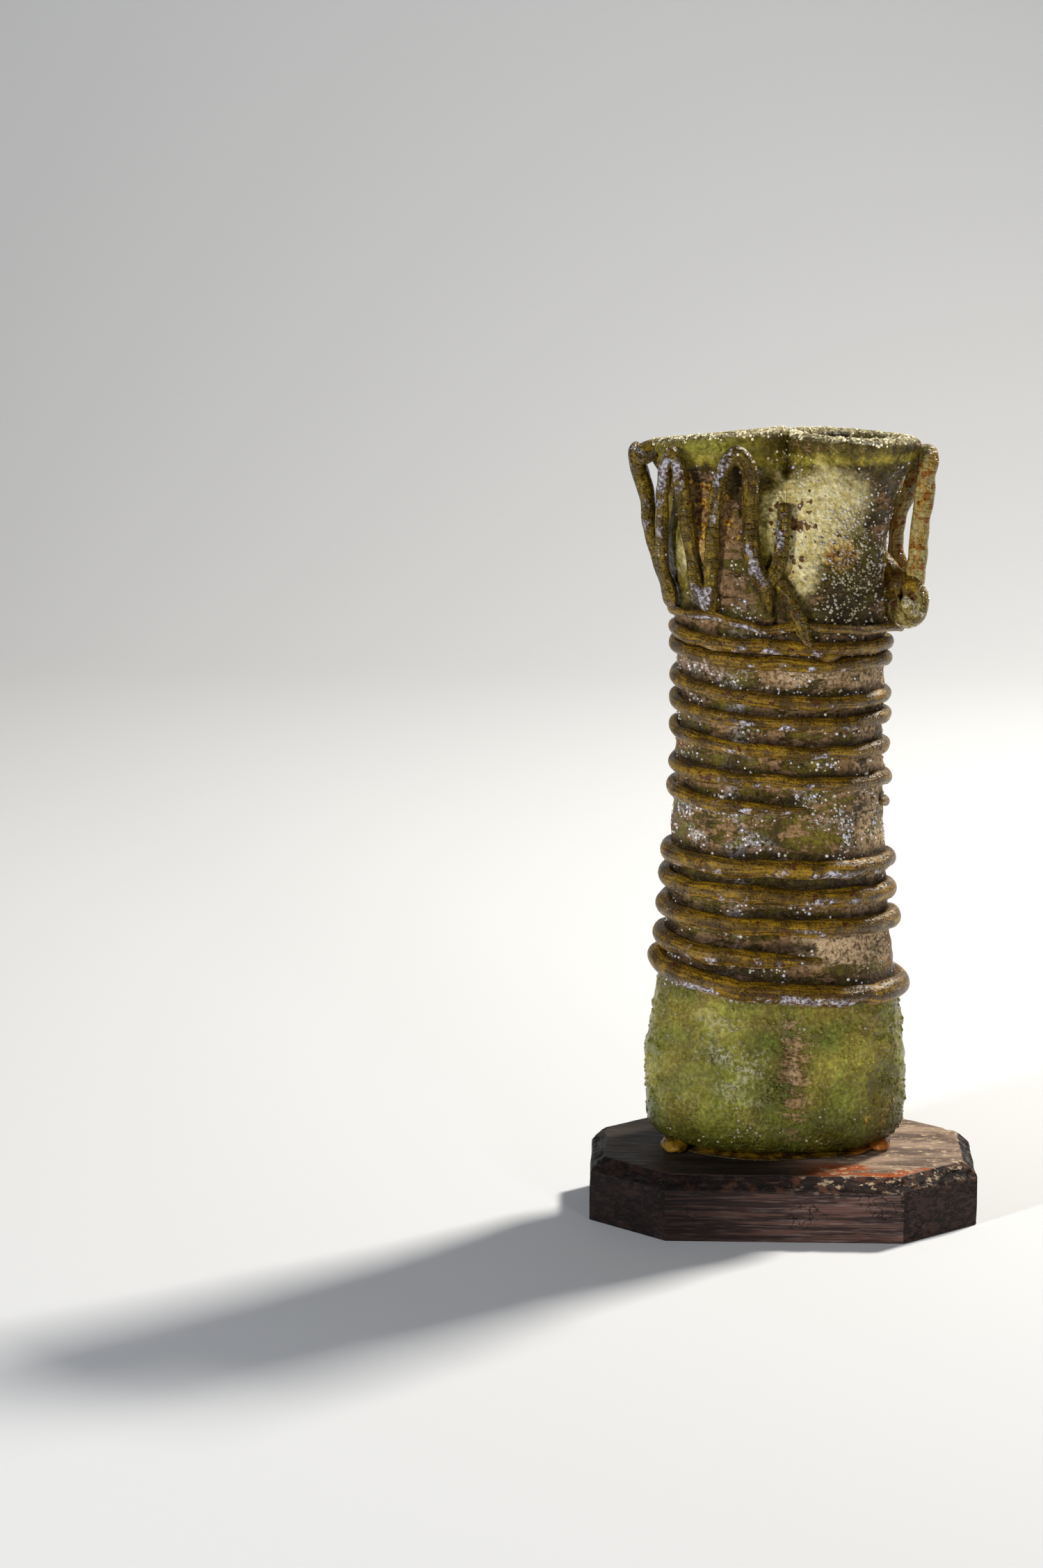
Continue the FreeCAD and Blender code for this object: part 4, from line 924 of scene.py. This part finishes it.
front_tail = drawn_thread("front_tail", [
    (-0.7, 94.8, 1), (0.4, 93, 1.2), (1.5, 91, 1.3), (2.5, 88.6, 1.25),
    (3.4, 86.6, 1), (4.2, 85.2, 0.7)],
    0.8, 75, strand_glass, "front_tail")
drawn_thread("bend_web", [
    (-2.9, 94.6, 1.1), (-2.7, 93, 0.9), (-2.5, 91.5, 0.7), (-2.3, 89.4, 0.35)],
    0.6, 76, strand_glass, None)
drawn_thread("hanging_drop", [
    (4.4, 83.9, 0.35), (5.9, 83.2, 0.65), (7.3, 82.9, 0.8), (8.7, 83.2, 0.65),
    (10.2, 83.9, 0.35)],
    1, 77, trail_glass, None)
drawn_thread("lip_bridge", [
    (-23.7, -0.6, 112.3, 1.3), (-22.6, -1, 113.2, 1.9), (-21.3, -1.6, 114, 1.9), (-19.8, -2.4, 114.6, 1.3)],
    0.75, 78, strand_glass, None)

strap_glass = thread_glass("strap_glass", (0.36, 0.19, 0.014), (0.36, 0.35, 0.16), 0.3, 0.575,
                           (0.24, 0.085, 0.006), 0.64, (0.5, 0.45, 0.3), ribs=0.6)
right_zigzag = drawn_thread("right_zigzag", [
    (20.9, -0.9, 91.2, 1.4), (21.1, -0.8, 93.5, 1.4), (21.4, -0.6, 96.2, 1.35), (21.7, -0.5, 99.6, 1.22),
    (22.1, -0.3, 103.4, 1.22), (22.5, -0.1, 107.3, 1.25), (22.9, 0.1, 111, 1.3), (23.1, 0.8, 113.8, 1.25),
    (22.3, 2, 113.6, 1.3), (21.4, 2.8, 110.6, 1.2), (20.3, 3.2, 107, 1), (18.9, 3.5, 103, 0.85),
    (18.4, 3.6, 98, 0.9), (19, 3.4, 95, 1), (18.9, 4.6, 93.6, 1.2), (18.6, 6.2, 95.5, 1.1),
    (18.6, 7.9, 102, 1), (18.6, 8.9, 107, 1), (18.4, 9.5, 111.5, 1.1), (17.4, 10, 114.3, 1.2),
    (15.9, 10.6, 111.5, 1.1), (14.4, 11, 104, 1), (12.9, 11.3, 96, 1.1), (11.6, 11.3, 91.8, 1.4),
    (10.7, 11.8, 95, 1.1), (9.9, 11.9, 103, 1), (9.2, 11.6, 110, 1.1), (7.9, 11.4, 114, 1.3),
    (6.4, 11.6, 110.5, 1.1), (4.5, 12.6, 101, 1), (2, 13.3, 91.8, 1.2)],
    1.25, 81, strap_glass, "right_zigzag_trail")
knob_glass = thread_glass("knob_glass", (0.11, 0.075, 0.01), (0.4, 0.31, 0.09), 0.6, 0.6,
                          (0.1, 0.03, 0.003), 0.53, (0.7, 0.6, 0.4))
strap_pad = drawn_thread("strap_pad", [
    (15.9, -0.8, 98, 0.9), (16.8, -1, 95.8, 1.6), (17.7, -1.2, 93.4, 2.3), (18.5, -1.3, 92.2, 2.2),
    (19.8, -1.2, 92.6, 2), (21, -1, 92.9, 1.8)],
    1, 85, trail_glass, None)
folded_knob = drawn_thread("folded_knob", [
    (21.7, -1.2, 92, 1.2), (22, -1.8, 89.9, 1.35), (21.3, -2.2, 88, 1.45), (19.6, -2.3, 87.3, 1.45),
    (18, -2.1, 88.2, 1.4), (17.8, -1.9, 89.8, 1.3), (19.3, -2.2, 90.4, 1.25), (20.4, -2.9, 89.2, 1.1)],
    1.05, 86, knob_glass, "handle_knob")


# Foot: a low pad of amber glass between the vessel and the stand. It shows as a lump at each end
# and a thin line along the front.
def oval_solid(centre, radii, seed, rows=18, columns=48, power=1):
    """A closed ellipsoid, its surface uneven by 5 parts in 100; a power under 1 squares it."""
    rise = np.linspace(-np.pi / 2, np.pi / 2, rows)[:, None]
    turn = np.linspace(0, 2 * np.pi, columns, endpoint=False)[None, :]
    across = np.cos(rise) ** power
    way = np.stack([across * np.cos(turn), across * np.sin(turn), np.sin(rise) + 0 * turn], axis=-1)
    points = np.array(centre) + way * np.array(radii) * (1 + 0.05 * sine_noise(way * 3, 3, seed))[..., None]
    return points.reshape(-1, 3), grid_faces(rows, columns, True)


foot_parts = [
    oval_solid((0, -0.2, 0.2), (17.4, 11.9, 0.42), 91, power=0.4),
    oval_solid((-16.4, -5.4, 0.7), (2.3, 3.8, 1.35), 92), oval_solid((17, -3.2, 0.7), (1.9, 3.2, 1.4), 93)]
foot_points = np.concatenate([points for points, quads in foot_parts])
foot_points[:, 2] = np.maximum(foot_points[:, 2], 0.02)
foot_starts = np.cumsum([0] + [len(points) for points, quads in foot_parts])
foot_quads = np.concatenate([quads + start for (points, quads), start in zip(foot_parts, foot_starts)])
amber_foot = millimetre_mesh("amber_foot", foot_points + FOOT, foot_quads)
amber_glass, shader = new_material("amber_glass")
place = stretched()
at_x, _, at_z = axes(place)
resin = blend(between(noise(place, 400, 4, 0.6), 0.4, 0.6), (0.045, 0.02, 0.002), (0.3, 0.16, 0.01))
# Painted shade: from the stand's top to about half a millimetre above it the foot is dark, the thin pad and
# the lumps' bottoms under the bulb.
resin = blend(between(at_z, 0.0107, 0.0112), (0.045, 0.028, 0.008), resin)
resin = blend(between(at_x, 0.01, 0.013), resin, (0.5, 0.16, 0.025))
fill(shader, Base_Color=resin, Roughness=0.15, Normal=bump(noise(place, 900, 4, 0.6), 0.0006, 0.8),
     Transmission_Weight=0.2)
amber_foot.data.materials.append(amber_glass)
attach(amber_foot, "vessel")
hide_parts("foot_pad")


# Beads: weathering has raised thousands of tiny pearly pimples on the glass, in clusters on the wall
# and along the threads, and sandy grains on the lips; where pale beads crowd into a line down the
# wall's front and along the threads' lower fronts they are also painted highlights and reflections.
BEAD_SIDES, BEAD_TOP = 6, 118.2


def bead_places(piece, count, chosen, seed):
    """Chance places on a piece's faces and their normals, more where chosen(places, normals) is large."""
    chance = np.random.default_rng(seed)
    faces = piece.data.polygons
    centre, normal, area = (np.zeros(len(faces) * size) for size in (3, 3, 1))
    faces.foreach_get("center", centre)
    faces.foreach_get("normal", normal)
    faces.foreach_get("area", area)
    centre = centre.reshape(-1, 3) * 1000 - FOOT
    normal = normal.reshape(-1, 3)
    weight = area * np.clip(chosen(centre, normal), 0, None)
    picked = chance.choice(len(faces), count, p=weight / weight.sum())
    drift = chance.normal(size=(count, 3)) * np.sqrt(area[picked, None]) * 350
    drift -= (drift * normal[picked]).sum(axis=1, keepdims=True) * normal[picked]
    return centre[picked] + drift, normal[picked]


def bead_shapes(places, normals, radii):
    """A closed dome at each place along its normal: two rings of points, a top and a sunk bottom."""
    aside = unit(np.cross(normals, np.array([0.31, 0.22, 0.93])))
    frame = np.stack([aside, np.cross(normals, aside), normals], axis=1)
    turn = np.linspace(0, 2 * np.pi, BEAD_SIDES, endpoint=False)
    rings = [np.stack([wide * np.cos(turn), wide * np.sin(turn), 0 * turn + tall], axis=1)
             for wide, tall in ((1, -0.1), (0.72, 0.48))]
    dome = np.concatenate(rings + [[[0, 0, 0.8], [0, 0, -0.5]]])
    points = places[:, None] + radii[:, None, None] * (dome @ frame)
    low = np.arange(BEAD_SIDES)
    after = np.roll(low, -1)
    triangles = np.concatenate([
        np.stack([low, after, after + BEAD_SIDES], axis=1),
        np.stack([low, after + BEAD_SIDES, low + BEAD_SIDES], axis=1),
        fan(low + BEAD_SIDES, 2 * BEAD_SIDES), fan(low, 2 * BEAD_SIDES + 1, flip=True)])
    every = triangles + (np.arange(len(places)) * len(dome))[:, None, None]
    return points.reshape(-1, 3), every.reshape(-1, 3), len(dome)


def on_wall(places, normals):
    """Where beads gather on the wall: clusters, thick on the funnel's right and between the trails, and a
    painted highlight, a dense line of them down the front at x = -7.
    """
    x, y, tall = places.T
    outer = clamp(normals[:, 0] * x + normals[:, 1] * y)
    cluster = np.clip(sine_noise(places * np.array([1, 1, 1.8]), 8, 101) + 0.15, 0.02, 1.2)
    spread = 0.25 + 1.4 * np.exp(-((x + 7) / 1.4) ** 2) * (y < 0) + 0.5 * ((tall > 28) & (tall < 88)) + spots(
        places, (3.2, 11, -9, 57, 5, 9, 6), (3, -9, -10, 55.5, 8, 9, 5), (0.6, 13, -7, 108, 6, 9, 4))
    thick = spots(places, (3.2, 11, -9, 96.5, 5.5, 9, 8))
    return outer * (cluster * spread + thick) * (tall > 3) * (tall < 113)


def on_thread(places, normals):
    """Where beads gather on a thread: its lower front, in runs, which also stands for a painted reflection of
    the bright floor, and thinly over its top.
    """
    outer = clamp(normals[:, 0] * places[:, 0] / 12 + normals[:, 1] * places[:, 1] / 10)
    band = clamp(0.55 - np.abs(normals[:, 2] + 0.15)) + 0.08 * clamp(normals[:, 2])
    return outer * band * np.clip(1.4 * sine_noise(places, 8, 102) + 0.25, 0.03, 1.2)


def on_strand(places, normals):
    """Where beads gather on the zigzags: the side turned up and out."""
    out = normals[:, 2] * 0.6 - normals[:, 1] - 0.4 * normals[:, 0]
    return np.clip(out - 0.7, 0.005, 1) * np.clip(sine_noise(places, 6, 103) + 0.55, 0.03, 1.2)


def on_lip(places, normals):
    """Where sandy grains lie: the tops of the lips."""
    return clamp(normals[:, 2] - 0.05) * (places[:, 2] > 113)


# Piece, number of beads, where they gather, their radius and how pale they are.
bead_rows = [
    (blown_tube, 3280, on_wall, 0.22, 1), (upper_trail, 1150, on_thread, 0.23, 1),
    (lower_trail, 800, on_thread, 0.25, 1), (base_ring, 170, on_thread, 0.24, 0.9),
    (collar, 130, on_thread, 0.17, 1), (left_zigzag, 900, on_strand, 0.2, 0.5),
    (front_tail, 40, on_thread, 0.17, 0.9), (right_zigzag, 420, on_strand, 0.15, 0.5),
    (strap_pad, 100, on_strand, 0.16, 0.6), (folded_knob, 220, on_strand, 0.2, 0.6),
    (blown_tube, 1100, on_lip, 0.18, 0.25)]
places, normals, radii, pale = [], [], [], []
for seed, (piece, count, chosen, size, paleness) in enumerate(bead_rows):
    chance = np.random.default_rng(200 + seed)
    here, way = bead_places(piece, count, chosen, 300 + seed)
    places.append(here)
    normals.append(way)
    radii.append(np.clip(size * np.exp(0.33 * chance.normal(size=count)), 0.07, 0.36))
    level = paleness * clamp(chance.uniform(0.3, 1.25, count))
    level *= 1 - spots(here, (0.8, 10, -9, 93.5, 9, 9, 11))
    pale.append(np.where(here[:, 2] < 27, 0.25 * level, level))
places, normals, radii, pale = (np.concatenate(parts) for parts in (places, normals, radii, pale))
bead_points, bead_triangles, bead_size = bead_shapes(places, normals, radii)
bead_points[:, 2] = np.minimum(bead_points[:, 2], BEAD_TOP)
pearl_beads = millimetre_mesh("pearl_beads", bead_points + FOOT, bead_triangles)
give_share(pearl_beads, "pale", np.repeat(pale, bead_size))
give_share(pearl_beads, "sand", np.repeat(places[:, 2] > 112.8, bead_size))
pearl, shader = new_material("pearl")
hue = blend(between(noise(stretched(), 330, 3, 0.6), 0.46, 0.6), (0.8, 0.74, 0.66),
            (0.62, 0.62, 0.76))
bead_colour = blend(read_share("sand"), blend(read_share("pale"), (0.22, 0.17, 0.035), hue), (1, 0.91, 0.6))
fill(shader, Base_Color=bead_colour, Roughness=0.16, Metallic=0.25, Coat_Weight=0.6, Coat_Roughness=0.05)
pearl_beads.data.materials.append(pearl)
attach(pearl_beads, "vessel")


# Pimples: the bulb's own glass has risen in coarse grains, thickest on its left.
PIMPLES = 5200


def on_bulb_wall(places, normals):
    """Where the grains rise: all over the bulb, in drifts, more on the left of the front."""
    x, y, tall = places.T
    drift = np.clip(sine_noise(places * np.array([1, 1, 1.3]), 6, 111) + 0.55, 0.12, 1.3)
    left = 0.55 + spots(places, (0.9, -9, -12, 17, 10, 12, 11), (0.5, 17, -6, 18, 5, 10, 9))
    return drift * left * (tall > 1.5) * (tall < 29) * (np.hypot(x / 1.4, y) > 9)


places, normals = bead_places(blown_tube, PIMPLES, on_bulb_wall, 401)
radii = np.clip(0.24 * np.exp(0.38 * np.random.default_rng(402).normal(size=PIMPLES)), 0.09, 0.42)
sunk = places - 0.25 * radii[:, None] * normals
pimple_points, pimple_triangles, pimple_size = bead_shapes(sunk, normals, radii)
glass_pimples = millimetre_mesh("glass_pimples", pimple_points + FOOT, pimple_triangles)
places = np.repeat(places, pimple_size, axis=0)
shares = {"lime": np.ones(len(places)), "light": bulb_tone_and_painted_light(places), "shade": foot_shade(places[:, 2]),
          "soil": spots(places, (0.7, 2.6, -14, 15, 2.6, 9, 12)),
          "film_and_painted_sheen": spots(places, (0.5, -8, -12, 17, 6, 10, 7))}
for name, share in shares.items():
    give_share(glass_pimples, name, share)
glass_pimples.data.materials.append(tube_glass)
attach(glass_pimples, "vessel")
